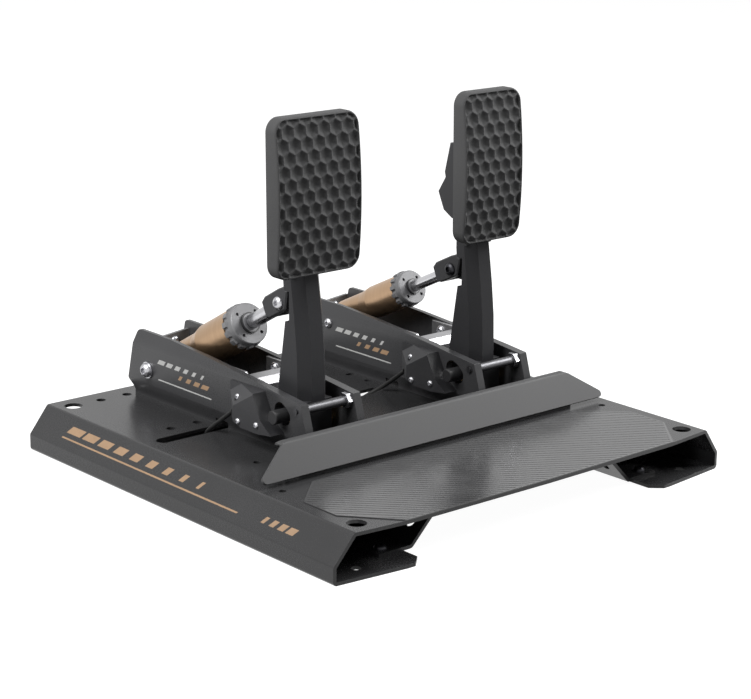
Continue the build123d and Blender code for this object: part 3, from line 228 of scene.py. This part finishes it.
brake_tilt = math.radians(29.4)
throttle_tilt = math.radians(25.8)
materials = {
    "base_coat": powder_coat("base_coat", (0.031, 0.031, 0.032), 0.26, 0.28),
    "rest_coat": powder_coat("rest_coat", (0.056, 0.056, 0.057), 0.46, 0.16),
    "plate_coat": powder_coat("plate_coat", (0.044, 0.044, 0.046), 0.3, 0.28),
    "arm_coat": powder_coat("arm_coat", (0.030, 0.030, 0.032), 0.33, 0.1),
    "bracket_coat": powder_coat("bracket_coat", (0.040, 0.040, 0.042), 0.4, 0.12),
    "pad_coat": powder_coat("pad_coat", (0.078, 0.078, 0.079), 0.5, 0.02),
    "bridge_coat": powder_coat("bridge_coat", (0.13, 0.13, 0.132), 0.45, 0.35),
    "black_coat": powder_coat("black_coat", (0.015, 0.015, 0.016), 0.45, 0.35),
    "bare_aluminium": brushed("bare_aluminium", (0.42, 0.42, 0.43), 0.42),
    "spacer_aluminium": brushed("spacer_aluminium", (0.55, 0.55, 0.56), 0.3, (30, 1, 1)),
    "bright_steel": plated("bright_steel", (0.52, 0.52, 0.54), 0.26),
    "dark_steel": plated("dark_steel", (0.045, 0.045, 0.05), 0.35),
    "brake_bronze": anodised("brake_bronze", (0.42, 0.28, 0.17), 0.33, brake_tilt),
    "throttle_bronze": anodised("throttle_bronze", (0.45, 0.30, 0.185), 0.33, throttle_tilt),
    "brake_ring_grey": anodised("brake_ring_grey", (0.17, 0.17, 0.175), 0.46, brake_tilt, 0.25),
    "throttle_ring_grey": anodised("throttle_ring_grey", (0.15, 0.15, 0.155), 0.46, throttle_tilt, 0.25),
    "brake_rod_steel": anodised("brake_rod_steel", (0.55, 0.55, 0.57), 0.2, brake_tilt, 1.0, 500),
    "throttle_rod_steel": anodised("throttle_rod_steel", (0.58, 0.58, 0.60), 0.16, throttle_tilt, 1.0, 500),
    "grey_steel": brushed("grey_steel", (0.10, 0.10, 0.105), 0.42, (1, 30, 30)),
    "spring_steel": brushed("spring_steel", (0.5, 0.5, 0.52), 0.3),
    "bush_bronze": brushed("bush_bronze", (0.55, 0.38, 0.18), 0.35, (40, 1, 1)),
    "black_plastic": moulded("black_plastic", (0.020, 0.020, 0.021), 0.5),
    "sensor_plastic": moulded("sensor_plastic", (0.030, 0.030, 0.032), 0.45),
    "circuit_board": moulded("circuit_board", (0.02, 0.10, 0.04), 0.35, 500),
    "elastomer": moulded("elastomer", (0.45, 0.08, 0.04), 0.5),
    "lead_rubber": moulded("lead_rubber", (0.012, 0.012, 0.012), 0.55),
    "mat_rubber": moulded("mat_rubber", (0.050, 0.050, 0.051), 0.21, 1300, 0.00001, 0.8),
    # Darker copy of the mat rubber for the sheet between the ribs: painted shade in the grooves.
    "mat_groove_shaded": moulded("mat_groove_shaded", (0.035, 0.035, 0.036), 0.26, 1300, 0.00001, 0.6),
    "bronze_ink": print_ink("bronze_ink", (0.37, 0.24, 0.145), 0.5),
    "pale_ink": print_ink("pale_ink", (0.50, 0.50, 0.49), 0.5),
}

wearing = {
    "base_coat": ("base_plate", "left_stiffener", "right_stiffener"),
    "rest_coat": ("heel_rest",),
    "plate_coat": (
        "brake_left_plate", "brake_right_plate", "throttle_left_plate", "throttle_right_plate",
    ),
    "arm_coat": ("brake_arm", "throttle_arm"),
    "bracket_coat": (
        "brake_pad_holder", "throttle_pad_holder", "brake_clevis", "throttle_clevis",
    ),
    "bridge_coat": ("brake_rear_bridge", "throttle_rear_bridge"),
    "black_coat": ("brake_retaining_ring", "throttle_retaining_ring"),
    "bare_aluminium": ("brake_cross_bracket", "throttle_cross_bracket"),
    "spacer_aluminium": ("pivot_spacers",),
    "bright_steel": (
        "bracket_screws", "tie_nuts", "rear_pivot_bolts", "rear_pivot_nuts", "sensor_screws",
        "brake_clevis_pin",
    ),
    "dark_steel": (
        "heel_rest_screws", "pedal_mount_screws", "pivot_axles", "brake_pad_screws",
        "throttle_pad_screws", "throttle_clevis_pin", "stiffener_bolts",
    ),
    "grey_steel": ("tie_rods",),
    "brake_bronze": ("brake_cylinder",),
    "throttle_bronze": ("throttle_cylinder",),
    "brake_ring_grey": ("brake_preload_ring", "brake_front_plug"),
    "throttle_ring_grey": ("throttle_preload_ring", "throttle_front_plug"),
    "brake_rod_steel": ("brake_push_rod",),
    "throttle_rod_steel": ("throttle_push_rod",),
    "spring_steel": ("throttle_spring",),
    "bush_bronze": ("brake_arm_bushes", "throttle_arm_bushes"),
    "black_plastic": ("brake_magnet_post", "throttle_magnet_post", "lead_clips"),
    "sensor_plastic": (
        "brake_sensor_housing", "throttle_sensor_housing", "brake_sensor_lid", "throttle_sensor_lid",
    ),
    "circuit_board": ("brake_sensor_board", "throttle_sensor_board"),
    "elastomer": ("brake_elastomers",),
}
finish_of = {node: name for name, group in wearing.items() for node in group}
bodies = frame["record"]["behaviour"]["bodies"]
body_of = {node: body for body, group in bodies.items() for node in group}
for node, name in finish_of.items():
    data = nodes[node].data
    data.materials.clear()
    data.materials.append(materials[name])


# Pieces

def adopt(name, mesh, body, replaced=()):
    """Links a finished mesh as a piece that rides on a body."""
    piece = bpy.data.objects.new(name, mesh)
    bpy.context.scene.collection.objects.link(piece)
    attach(piece, body)
    if replaced:
        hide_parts(*replaced)
    return piece


flat_angle = math.radians(0.6)
sharp_angle = math.radians(28)
ease_segments = 2
flat_face_weight = 90


def plain_mesh(holder):
    """The finished mesh of an object with its modifiers applied."""
    evaluated = holder.evaluated_get(bpy.context.evaluated_depsgraph_get())
    return bpy.data.meshes.new_from_object(evaluated)


def eased(node, width):
    """A copy of a rigid solid with its sharp edges eased to a small round."""
    mesh = nodes[node].data.copy()
    mesh.name = f"{node}_eased"
    work = bmesh.new()
    work.from_mesh(mesh)
    bmesh.ops.remove_doubles(work, verts=work.verts, dist=weld_distance)
    bmesh.ops.dissolve_limit(work, angle_limit=flat_angle, verts=work.verts, edges=work.edges)
    sharp = [
        edge for edge in work.edges
        if edge.is_manifold and edge.calc_face_angle(0) > sharp_angle
    ]
    bmesh.ops.bevel(
        work, geom=sharp, offset=width * MM, offset_type="OFFSET", segments=ease_segments,
        profile=0.5, affect="EDGES", clamp_overlap=True, miter_outer="SHARP",
    )
    for face in work.faces:
        face.smooth = True
    work.to_mesh(mesh)
    work.free()
    holder = bpy.data.objects.new(f"{node}_work", mesh)
    bpy.context.scene.collection.objects.link(holder)
    weighted = holder.modifiers.new("even_normals", "WEIGHTED_NORMAL")
    weighted.mode = "FACE_AREA"
    weighted.weight = flat_face_weight
    weighted.keep_sharp = False
    finished = plain_mesh(holder)
    bpy.data.objects.remove(holder)
    finished.name = f"{node}_eased"
    return adopt(f"{node}_eased", finished, body_of[node], (node,))


for node, width in {
    "base_plate": 0.5, "left_stiffener": 0.4, "right_stiffener": 0.4, "heel_rest": 0.6,
    "brake_left_plate": 0.7, "brake_right_plate": 0.7,
    "throttle_left_plate": 0.7, "throttle_right_plate": 0.7,
    "brake_arm": 0.9, "throttle_arm": 0.9, "brake_pad_holder": 0.5, "throttle_pad_holder": 0.5,
    "brake_cross_bracket": 0.4, "throttle_cross_bracket": 0.4, "brake_rear_bridge": 0.4,
    "throttle_rear_bridge": 0.4, "brake_sensor_housing": 0.8, "throttle_sensor_housing": 0.8,
    "brake_clevis": 0.4, "throttle_clevis": 0.4,
}.items():
    eased(node, width)


# Geometry Nodes building blocks

class Recipe:
    """A Geometry Nodes tree with named inputs, run once and turned into a plain mesh."""

    def __init__(self, name, **sizes):
        self.tree = bpy.data.node_groups.new(name, "GeometryNodeTree")
        self.sizes = sizes
        self.interface = {}
        self.tree.interface.new_socket("Geometry", in_out="INPUT", socket_type="NodeSocketGeometry")
        self.tree.interface.new_socket("Geometry", in_out="OUTPUT", socket_type="NodeSocketGeometry")
        for key, value in sizes.items():
            kind = "NodeSocketInt" if isinstance(value, int) else "NodeSocketFloat"
            socket = self.tree.interface.new_socket(key, in_out="INPUT", socket_type=kind)
            self.interface[key] = socket.identifier
        self.given = self.tree.nodes.new("NodeGroupInput")
        self.result = self.tree.nodes.new("NodeGroupOutput")

    def size(self, key):
        return self.given.outputs[key]

    def add(self, kind, settings=None, **inputs):
        node = self.tree.nodes.new(kind)
        for key, value in (settings or {}).items():
            setattr(node, key, value)
        for key, value in inputs.items():
            socket = node.inputs[key.replace("_", " ")]
            if isinstance(value, bpy.types.NodeSocket):
                self.tree.links.new(value, socket)
            else:
                socket.default_value = value
        return node

    def math(self, operation, *values):
        node = self.tree.nodes.new("ShaderNodeMath")
        node.operation = operation
        for socket, value in zip(node.inputs, values):
            if isinstance(value, bpy.types.NodeSocket):
                self.tree.links.new(value, socket)
            else:
                socket.default_value = value
        return node.outputs[0]

    def vector(self, x=0.0, y=0.0, z=0.0):
        return self.add("ShaderNodeCombineXYZ", X=x, Y=y, Z=z).outputs[0]

    def parts(self, vector):
        node = self.tree.nodes.new("ShaderNodeSeparateXYZ")
        self.tree.links.new(vector, node.inputs[0])
        return node.outputs

    def mesh(self, geometry, material, name, start=None):
        """Ends the tree in real, finished geometry and returns it as a mesh."""
        solid = self.add("GeometryNodeRealizeInstances", Geometry=geometry)
        dressed = self.add("GeometryNodeSetMaterial", Geometry=solid.outputs[0], Material=material)
        self.tree.links.new(dressed.outputs[0], self.result.inputs[0])
        holder = bpy.data.objects.new(name, start or bpy.data.meshes.new(name))
        bpy.context.scene.collection.objects.link(holder)
        modifier = holder.modifiers.new("recipe", "NODES")
        modifier.node_group = self.tree
        for key, identifier in self.interface.items():
            modifier[identifier] = self.sizes[key]
        finished = plain_mesh(holder)
        holder.modifiers.remove(modifier)
        bpy.data.objects.remove(holder)
        finished.name = name
        finished.materials.clear()
        finished.materials.append(material)
        finished.polygons.foreach_set("material_index", [0] * len(finished.polygons))
        return finished


pad_lean = 0.0182  # the pads' backs lean away from upright by this slope
pad_back_y = -25.0  # of the pads' backs, at the next height
pad_back_z = 254.0
rim_fade = 0.0011  # metres, from the plain rim to the full depth of the cups
cell_shift = 50.5  # half a cell, and whole cells that keep every count positive
start_thickness = 0.001  # metres; the front is put in its place afterwards
seam_distance = 0.00001  # metres


def cup_pad(pedal, middle_x, width, low, top, across):
    """Pad face: a rounded block whose front is a field of hexagonal cups."""
    height = top - low
    recipe = Recipe(
        f"{pedal}_cup_pad", width=width * MM, height=height * MM, corner=12.0 * MM,
        pitch=12.45 * MM, cup_depth=2.9 * MM, rim=1.6 * MM, edge_round=2.2 * MM,
        middle_thickness=16.2 * MM, low_thickness=12.0 * MM, top_thickness=11.0 * MM,
        lean=pad_lean, across=across, along=176,
    )
    math_of = recipe.math
    grid = recipe.add(
        "GeometryNodeMeshGrid", Size_X=recipe.size("width"), Size_Y=recipe.size("height"),
        Vertices_X=recipe.size("across"), Vertices_Y=recipe.size("along"),
    )
    u, v, _ = recipe.parts(recipe.add("GeometryNodeInputPosition").outputs[0])
    corner = recipe.size("corner")
    shares = []
    for value, extent in ((u, "width"), (v, "height")):
        inner = math_of("SUBTRACT", math_of("MULTIPLY", recipe.size(extent), 0.5), corner)
        beyond = math_of("MAXIMUM", math_of("SUBTRACT", math_of("ABSOLUTE", value), inner), 0.0)
        shares.append((inner, math_of("DIVIDE", beyond, corner), math_of("SIGN", value), value))
    rounded = []
    for index in (0, 1):
        inner, share, sign, value = shares[index]
        other = shares[1 - index][1]
        half_square = math_of("MULTIPLY", math_of("MULTIPLY", other, other), 0.5)
        shrink = math_of("SQRT", math_of("SUBTRACT", 1.0, half_square))
        kept = math_of("MINIMUM", math_of("ABSOLUTE", value), inner)
        past = math_of("MULTIPLY", math_of("MULTIPLY", share, shrink), corner)
        rounded.append(math_of("MULTIPLY", sign, math_of("ADD", kept, past)))
    flat = recipe.add(
        "GeometryNodeSetPosition", Geometry=grid.outputs["Mesh"],
        Position=recipe.vector(rounded[0], rounded[1], 0.0),
    )
    x, y, _ = recipe.parts(recipe.add("GeometryNodeInputPosition").outputs[0])

    # Distance inwards from the rounded outline
    gaps = []
    for value, extent in ((x, "width"), (y, "height")):
        inner = math_of("SUBTRACT", math_of("MULTIPLY", recipe.size(extent), 0.5), corner)
        gaps.append(math_of("SUBTRACT", math_of("ABSOLUTE", value), inner))
    outside = [math_of("MAXIMUM", gap, 0.0) for gap in gaps]
    squares = [math_of("POWER", gap, 2.0) for gap in outside]
    reach = math_of("SQRT", math_of("ADD", *squares))
    inside = math_of("MINIMUM", math_of("MAXIMUM", gaps[0], gaps[1]), 0.0)
    depth_in = math_of("SUBTRACT", corner, math_of("ADD", reach, inside))

    # Nearest cup of two interleaved rectangular rows of cups
    pitch = recipe.size("pitch")
    tall_pitch = math_of("MULTIPLY", pitch, math.sqrt(3))
    spans = []
    for offset in (0.0, 0.5):
        du = math_of("DIVIDE", x, pitch)
        dv = math_of("DIVIDE", y, tall_pitch)
        du = math_of("SUBTRACT", math_of("FRACT", math_of("ADD", du, cell_shift + offset)), 0.5)
        dv = math_of("SUBTRACT", math_of("FRACT", math_of("ADD", dv, cell_shift + offset)), 0.5)
        du = math_of("MULTIPLY", math_of("ABSOLUTE", du), pitch)
        dv = math_of("MULTIPLY", math_of("ABSOLUTE", dv), tall_pitch)
        rise = math_of("MULTIPLY", dv, math.sqrt(3) / 2)
        slant = math_of("ADD", math_of("MULTIPLY", du, 0.5), rise)
        spans.append(math_of("MAXIMUM", du, slant))
    out_share = math_of("DIVIDE", math_of("MINIMUM", *spans), math_of("MULTIPLY", pitch, 0.5))
    bowl = math_of("SUBTRACT", 1.0, math_of("POWER", out_share, 2.0))
    fade = math_of("DIVIDE", math_of("SUBTRACT", depth_in, recipe.size("rim")), rim_fade)
    fade = math_of("MINIMUM", math_of("MAXIMUM", fade, 0.0), 1.0)
    cup = math_of("MULTIPLY", math_of("MULTIPLY", bowl, fade), recipe.size("cup_depth"))

    # Rounded front edge
    edge = recipe.size("edge_round")
    short = math_of("MAXIMUM", math_of("SUBTRACT", edge, depth_in), 0.0)
    edge_square = math_of("MULTIPLY", edge, edge)
    left_square = math_of("SUBTRACT", edge_square, math_of("MULTIPLY", short, short))
    drop = math_of("SUBTRACT", edge, math_of("SQRT", math_of("MAXIMUM", left_square, 0.0)))

    # Bowed thickness between the flat back and the front
    half = math_of("MULTIPLY", recipe.size("height"), 0.5)
    along = math_of("DIVIDE", y, half)
    middle_thickness = recipe.size("middle_thickness")
    low_thickness = recipe.size("low_thickness")
    top_thickness = recipe.size("top_thickness")
    end_thickness = math_of("MULTIPLY", math_of("ADD", low_thickness, top_thickness), 0.5)
    bulge = math_of("SUBTRACT", middle_thickness, end_thickness)
    bow = math_of("MULTIPLY", bulge, math_of("MULTIPLY", along, along))
    gain = math_of("SUBTRACT", top_thickness, low_thickness)
    tip = math_of("MULTIPLY", gain, math_of("MULTIPLY", along, 0.5))
    thickness = math_of("ADD", math_of("SUBTRACT", middle_thickness, bow), tip)
    back = math_of("MULTIPLY", y, recipe.size("lean"))
    out = math_of("SUBTRACT", math_of("SUBTRACT", thickness, cup), drop)
    front = math_of("SUBTRACT", back, out)

    # Front and walls from the extruded sheet, closed by a flat back
    grown = recipe.add(
        "GeometryNodeExtrudeMesh", Mesh=flat.outputs[0], Offset_Scale=start_thickness,
        Individual=False,
    )
    raised = recipe.add(
        "GeometryNodeSetPosition", Geometry=grown.outputs["Mesh"], Selection=grown.outputs["Top"],
        Position=recipe.vector(x, front, y),
    )
    untouched = recipe.add("FunctionNodeBooleanMath", {"operation": "NOT"})
    recipe.tree.links.new(grown.outputs["Top"], untouched.inputs[0])
    walls = recipe.add(
        "GeometryNodeSetPosition", Geometry=raised.outputs[0], Selection=untouched.outputs[0],
        Position=recipe.vector(x, back, y),
    )
    rear = recipe.add(
        "GeometryNodeSetPosition", Geometry=flat.outputs[0], Position=recipe.vector(x, back, y),
    )
    flipped = recipe.add("GeometryNodeFlipFaces", Mesh=rear.outputs[0])
    joined = recipe.tree.nodes.new("GeometryNodeJoinGeometry")
    recipe.tree.links.new(walls.outputs[0], joined.inputs[0])
    recipe.tree.links.new(flipped.outputs[0], joined.inputs[0])
    merged = recipe.add(
        "GeometryNodeMergeByDistance", Geometry=joined.outputs[0], Distance=seam_distance,
    )
    smooth = recipe.add("GeometryNodeSetShadeSmooth", Geometry=merged.outputs[0])
    name = f"{pedal}_cup_pad"
    mesh = recipe.mesh(smooth.outputs[0], materials["pad_coat"], name)
    middle_z = (low + top) / 2
    middle_y = SET_BACK + pad_back_y + (middle_z - pad_back_z) * pad_lean
    mesh.transform(Matrix.Translation((middle_x * MM, middle_y * MM, middle_z * MM)))
    closed = bmesh.new()
    closed.from_mesh(mesh)
    bmesh.ops.remove_doubles(closed, verts=closed.verts, dist=weld_distance)
    bmesh.ops.recalc_face_normals(closed, faces=closed.faces)
    closed.to_mesh(mesh)
    closed.free()
    mesh.set_sharp_from_angle(angle=math.radians(50))
    return adopt(name, mesh, f"{pedal}_arm", (f"{pedal}_pad",))


cup_pad("brake", brake_x, width=88.3, low=188.0, top=320.0, across=118)
cup_pad("throttle", throttle_x, width=69.3, low=189.0, top=321.5, across=92)


# Heel mat: the rubber sheet and its slanted ribs inside a plain border

def prism_mesh(name, outline, low, high):
    """A closed prism over a flat outline, in millimetres."""
    count = len(outline)
    points = [(x * MM, (y + SET_BACK) * MM, z * MM) for z in (low, high) for x, y in outline]
    sides = [(i, (i + 1) % count, (i + 1) % count + count, i + count) for i in range(count)]
    solid = bpy.data.meshes.new(name)
    bottom, lid = tuple(reversed(range(count))), tuple(range(count, 2 * count))
    solid.from_pydata(points, [], [bottom, lid, *sides])
    return solid


# The mat's sheet between the ribs wears the darker rubber: painted shade in the grooves.
nodes["heel_mat"].data.materials.clear()
nodes["heel_mat"].data.materials.append(materials["mat_groove_shaded"])
mat_middle_y = -155
rib_middle_z = 0.0397  # metres
field_low, field_top = 39.3, 40.5
border_low, border_top = 39.5, 39.95
mat_field = (
    (-149.5, -215.2), (0.0, -216.8), (149.5, -215.2), (185.4, -174.4), (185.4, -136.2),
    (150.4, -103.5), (-150.4, -103.5), (-185.4, -136.2), (-185.4, -174.4),
)
mat_edge = (
    (-151.0, -216.7), (0.0, -218.3), (151.0, -216.7), (186.9, -175.0), (186.9, -135.5),
    (151.0, -102.1), (-151.0, -102.1), (-186.9, -135.5), (-186.9, -175.0),
)


def mat_ribs():
    """Parallel ribs at 45 degrees, cut to the field inside the border."""
    recipe = Recipe(
        "slanted_ribs", count=82, pitch=4.9 * MM, width=4.0 * MM, length=0.56, height=0.4 * MM,
    )
    first = recipe.math("MULTIPLY", recipe.math("SUBTRACT", recipe.size("count"), 1), -0.5)
    first = recipe.math("MULTIPLY", first, recipe.size("pitch"))
    line = recipe.add(
        "GeometryNodeMeshLine", Count=recipe.size("count"),
        Start_Location=recipe.vector(0.0, first, 0.0),
        Offset=recipe.vector(0.0, recipe.size("pitch"), 0.0),
    )
    bar = recipe.add(
        "GeometryNodeMeshCube",
        Size=recipe.vector(recipe.size("length"), recipe.size("width"), recipe.size("height")),
    )
    ribs = recipe.add("GeometryNodeInstanceOnPoints", Points=line.outputs[0], Instance=bar.outputs[0])
    turned = recipe.add(
        "GeometryNodeTransform", Geometry=ribs.outputs[0], Rotation=(0, 0, -math.pi / 4),
        Translation=(0, (SET_BACK + mat_middle_y) * MM, rib_middle_z),
    )
    solid = recipe.add("GeometryNodeRealizeInstances", Geometry=turned.outputs[0])
    cut = recipe.add("GeometryNodeMeshBoolean", {"operation": "INTERSECT", "solver": "EXACT"})
    recipe.tree.links.new(solid.outputs[0], cut.inputs["Mesh 2"])
    recipe.tree.links.new(recipe.given.outputs["Geometry"], cut.inputs["Mesh 2"])
    field = prism_mesh("mat_field", mat_field, field_low, field_top)
    mesh = recipe.mesh(cut.outputs[0], materials["mat_rubber"], "heel_mat_ribs", field)
    return adopt("heel_mat_ribs", mesh, "frame")


def mat_border():
    """Raised narrow border round the ribs."""
    count = len(mat_edge)
    points = [
        (x * MM, (y + SET_BACK) * MM, z * MM)
        for z in (border_low, border_top) for ring in (mat_edge, mat_field) for x, y in ring
    ]
    faces = []
    low_out, low_in, high_out, high_in = (ring * count for ring in range(4))
    for i in range(count):
        j = (i + 1) % count
        faces += [
            (high_out + i, high_out + j, high_in + j, high_in + i),
            (low_out + i, low_out + j, high_out + j, high_out + i),
            (high_in + i, high_in + j, low_in + j, low_in + i),
            (low_in + i, low_in + j, low_out + j, low_out + i),
        ]
    mesh = bpy.data.meshes.new("heel_mat_border")
    mesh.from_pydata(points, [], faces)
    mesh.materials.append(materials["mat_rubber"])
    return adopt("heel_mat_border", mesh, "frame")


mat_ribs()
mat_border()


# Printed bars and pinstripes

def bar_row(name, material, plane, start, count, pitch, first, last, height, slant):
    """A row of slanted bars that shorten along the row, printed on a plane."""
    recipe = Recipe(
        f"{name}_row", count=count, pitch=pitch * MM, first=first * MM, last=last * MM,
        height=height * MM, slant=slant, thickness=0.08 * MM,
    )
    line = recipe.add(
        "GeometryNodeMeshLine", Count=recipe.size("count"),
        Offset=recipe.vector(recipe.size("pitch"), 0.0, 0.0),
    )
    steps = recipe.math("MAXIMUM", recipe.math("SUBTRACT", recipe.size("count"), 1), 1)
    share = recipe.math("DIVIDE", recipe.add("GeometryNodeInputIndex").outputs[0], steps)
    growth = recipe.math("SUBTRACT", recipe.size("last"), recipe.size("first"))
    change = recipe.math("MULTIPLY", growth, share)
    length = recipe.math("ADD", recipe.size("first"), change)
    bar = recipe.add("GeometryNodeMeshCube", Size=(1, 1, 1))
    bars = recipe.add(
        "GeometryNodeInstanceOnPoints", Points=line.outputs[0], Instance=bar.outputs[0],
        Scale=recipe.vector(length, recipe.size("height"), recipe.size("thickness")),
    )
    solid = recipe.add("GeometryNodeRealizeInstances", Geometry=bars.outputs[0])
    x, y, z = recipe.parts(recipe.add("GeometryNodeInputPosition").outputs[0])
    leaning = recipe.math("ADD", x, recipe.math("MULTIPLY", y, recipe.size("slant")))
    leant = recipe.add(
        "GeometryNodeSetPosition", Geometry=solid.outputs[0],
        Position=recipe.vector(leaning, y, z),
    )
    mesh = recipe.mesh(leant.outputs[0], materials[material], name)
    mesh.transform(plane @ Matrix.Translation((start[0] * MM, start[1] * MM, 0)))
    return adopt(name, mesh, "frame")


def printed_plane(origin, along, upward):
    """A face to print on, whose rows run along one direction and rise to the other."""
    along, upward = Vector(along).normalized(), Vector(upward).normalized()
    turn = Matrix((along, upward, along.cross(upward))).transposed().to_4x4()
    return Matrix.Translation([value * MM for value in origin]) @ turn


forwards = (0, -1, 0)
flange_middle = (-209.45, SET_BACK, 27.2)
flange_rise = (18.9, 0, 24.0)
flange = printed_plane(flange_middle, forwards, flange_rise)
bar_row(
    "flange_bars", "bronze_ink", flange, start=(-150, 2.5),
    count=9, pitch=22.5, first=20.0, last=4.0, height=7.0, slant=0.7,
)
bar_row(
    "flange_pinstripe", "bronze_ink", flange, start=(-40, -6.0),
    count=1, pitch=1.0, first=250.0, last=250.0, height=1.5, slant=0.7,
)
bar_row(
    "flange_front_bars", "bronze_ink", flange, start=(118, -2.5),
    count=4, pitch=11.0, first=4.0, last=9.0, height=6.0, slant=0.7,
)
plate_face = 32.0  # from a pedal's middle to the outside of its left side plate
for pedal, middle_x, shift in (("brake", brake_x, 0.0), ("throttle", throttle_x, 12.0)):
    side = printed_plane((middle_x - plate_face, SET_BACK, 0.0), forwards, (0, 0, 1))
    bar_row(
        f"{pedal}_pale_bars", "pale_ink", side, start=(shift - 140, 79.0),
        count=6, pitch=12.0, first=9.5, last=3.0, height=4.2, slant=0.8,
    )
    bar_row(
        f"{pedal}_bronze_bars", "bronze_ink", side, start=(shift - 112, 71.0),
        count=4, pitch=12.0, first=4.0, last=9.5, height=4.2, slant=0.8,
    )
    bar_row(
        f"{pedal}_pinstripe", "pale_ink", side, start=(shift - 106, 62.5),
        count=1, pitch=1.0, first=78.0, last=78.0, height=1.2, slant=0.8,
    )


# Lead between the two sensor boxes

lead_points = (
    (-131.0, 27.5, 63.4), (-131.6, 39.0, 54.5), (-133.0, 49.5, 46.5), (-135.0, 58.5, 38.5),
    (-130.0, 67.0, 31.5), (-119.0, 70.0, 27.0), (-105.0, 67.0, 25.8), (-90.0, 63.0, 26.4),
    (-70.0, 61.4, 29.0), (-45.0, 62.6, 30.9), (-15.0, 61.6, 31.2), (12.0, 62.4, 30.8),
    (30.0, 61.0, 30.2), (43.0, 64.0, 31.5), (54.0, 61.0, 36.5), (60.5, 52.5, 43.5),
    (62.8, 42.0, 52.0), (64.4, 28.6, 62.6),
)
lead_curve = bpy.data.curves.new("signal_lead", "CURVE")
lead_curve.dimensions = "3D"
lead_radius = 2.0
lead_curve.bevel_depth = lead_radius * MM
lead_curve.bevel_resolution = 4
lead_curve.use_fill_caps = True
lead_curve.resolution_u = 10
line = lead_curve.splines.new("NURBS")
line.points.add(len(lead_points) - 1)
for point, (x, y, z) in zip(line.points, lead_points):
    point.co = (x * MM, (y + SET_BACK) * MM, z * MM, 1)
line.order_u = 3
line.use_endpoint_u = True
lead_curve.materials.append(materials["lead_rubber"])
lead = bpy.data.objects.new("signal_lead", lead_curve)
bpy.context.scene.collection.objects.link(lead)
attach(lead, "frame")
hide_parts("link_lead")


# Floor, light and camera

def light_path_share(tree):
    """One where a ray comes from the camera, a mirror or glass."""
    path = tree.nodes.new("ShaderNodeLightPath")
    total = path.outputs["Is Camera Ray"]
    for name in ("Is Glossy Ray", "Is Transmission Ray"):
        both = tree.nodes.new("ShaderNodeMath")
        both.operation = "MAXIMUM"
        tree.links.new(total, both.inputs[0])
        tree.links.new(path.outputs[name], both.inputs[1])
        total = both.outputs[0]
    return total


floor_half = 6  # metres
floor_level = 0.97  # 1 is white
world_level = 0.03  # the world's own light on the object
floor_mesh = bpy.data.meshes.new("floor")
floor_corners = [(-floor_half, -floor_half, 0), (floor_half, -floor_half, 0)]
floor_corners += [(floor_half, floor_half, 0), (-floor_half, floor_half, 0)]
floor_mesh.from_pydata(floor_corners, [], [(0, 1, 2, 3)])
floor = bpy.data.objects.new("floor", floor_mesh)
bpy.context.scene.collection.objects.link(floor)
floor_material = bpy.data.materials.new("pale_floor")
floor_material.use_nodes = True
tree = floor_material.node_tree
shader = tree.nodes["Principled BSDF"]
shader.inputs["Base Color"].default_value = (0.25, 0.25, 0.25, 1)
shader.inputs["Roughness"].default_value = 0.9
shader.inputs["Specular IOR Level"].default_value = 0.0
shader.inputs["Emission Color"].default_value = (1, 1, 1, 1)
level = tree.nodes.new("ShaderNodeMath")
level.operation = "MULTIPLY"
level.inputs[1].default_value = floor_level
tree.links.new(light_path_share(tree), level.inputs[0])
tree.links.new(level.outputs[0], shader.inputs["Emission Strength"])
floor_mesh.materials.append(floor_material)

world = bpy.data.worlds.new("studio")
bpy.context.scene.world = world
world.use_nodes = True
tree = world.node_tree
background = tree.nodes["Background"]
background.inputs["Color"].default_value = (1, 1, 1, 1)
mixed = tree.nodes.new("ShaderNodeMapRange")
mixed.inputs["To Min"].default_value = world_level
mixed.inputs["To Max"].default_value = 1.0
tree.links.new(light_path_share(tree), mixed.inputs["Value"])
tree.links.new(mixed.outputs["Result"], background.inputs["Strength"])


def soft_light(name, place, aim, size, power):
    """A square lamp that faces a point, in metres and watts."""
    data = bpy.data.lights.new(name, "AREA")
    data.shape = "RECTANGLE"
    data.size, data.size_y = size, size
    data.energy = power
    lamp = bpy.data.objects.new(name, data)
    bpy.context.scene.collection.objects.link(lamp)
    lamp.location = place
    lamp.rotation_euler = (Vector(aim) - Vector(place)).to_track_quat("-Z", "Y").to_euler()


light_aim = (0, 0, 0.1)
soft_light("key", (1.45, -0.7, 1.3), light_aim, size=1.1, power=54)
soft_light("side", (-1.35, 0.2, 1.5), light_aim, size=1.4, power=52)

camera_place = (-1.182351, SET_BACK * MM - 1.353301, 0.603077)  # metres
focal_pixels = 2146.865
picture_width = 751  # pixels
yaw, pitch, roll = (math.radians(angle) for angle in (41.23948, 15.63391, 0.70212))
forward = Vector(
    (math.sin(yaw) * math.cos(pitch), math.cos(yaw) * math.cos(pitch), -math.sin(pitch))
)
right = Vector((math.cos(yaw), -math.sin(yaw), 0))
up = right.cross(forward)
right, up = (
    right * math.cos(roll) + up * math.sin(roll),
    up * math.cos(roll) - right * math.sin(roll),
)
camera_data = bpy.data.cameras.new("camera")
camera_data.sensor_width = 36.0
camera_data.sensor_fit = "HORIZONTAL"
camera_data.lens = focal_pixels / picture_width * camera_data.sensor_width
camera_data.clip_end = 20
camera = bpy.data.objects.new("camera", camera_data)
bpy.context.scene.collection.objects.link(camera)
camera_turn = Matrix((right, up, -forward)).transposed().to_4x4()
camera.matrix_world = Matrix.Translation(camera_place) @ camera_turn
bpy.context.scene.camera = camera
bpy.context.scene.view_settings.view_transform = "Standard"
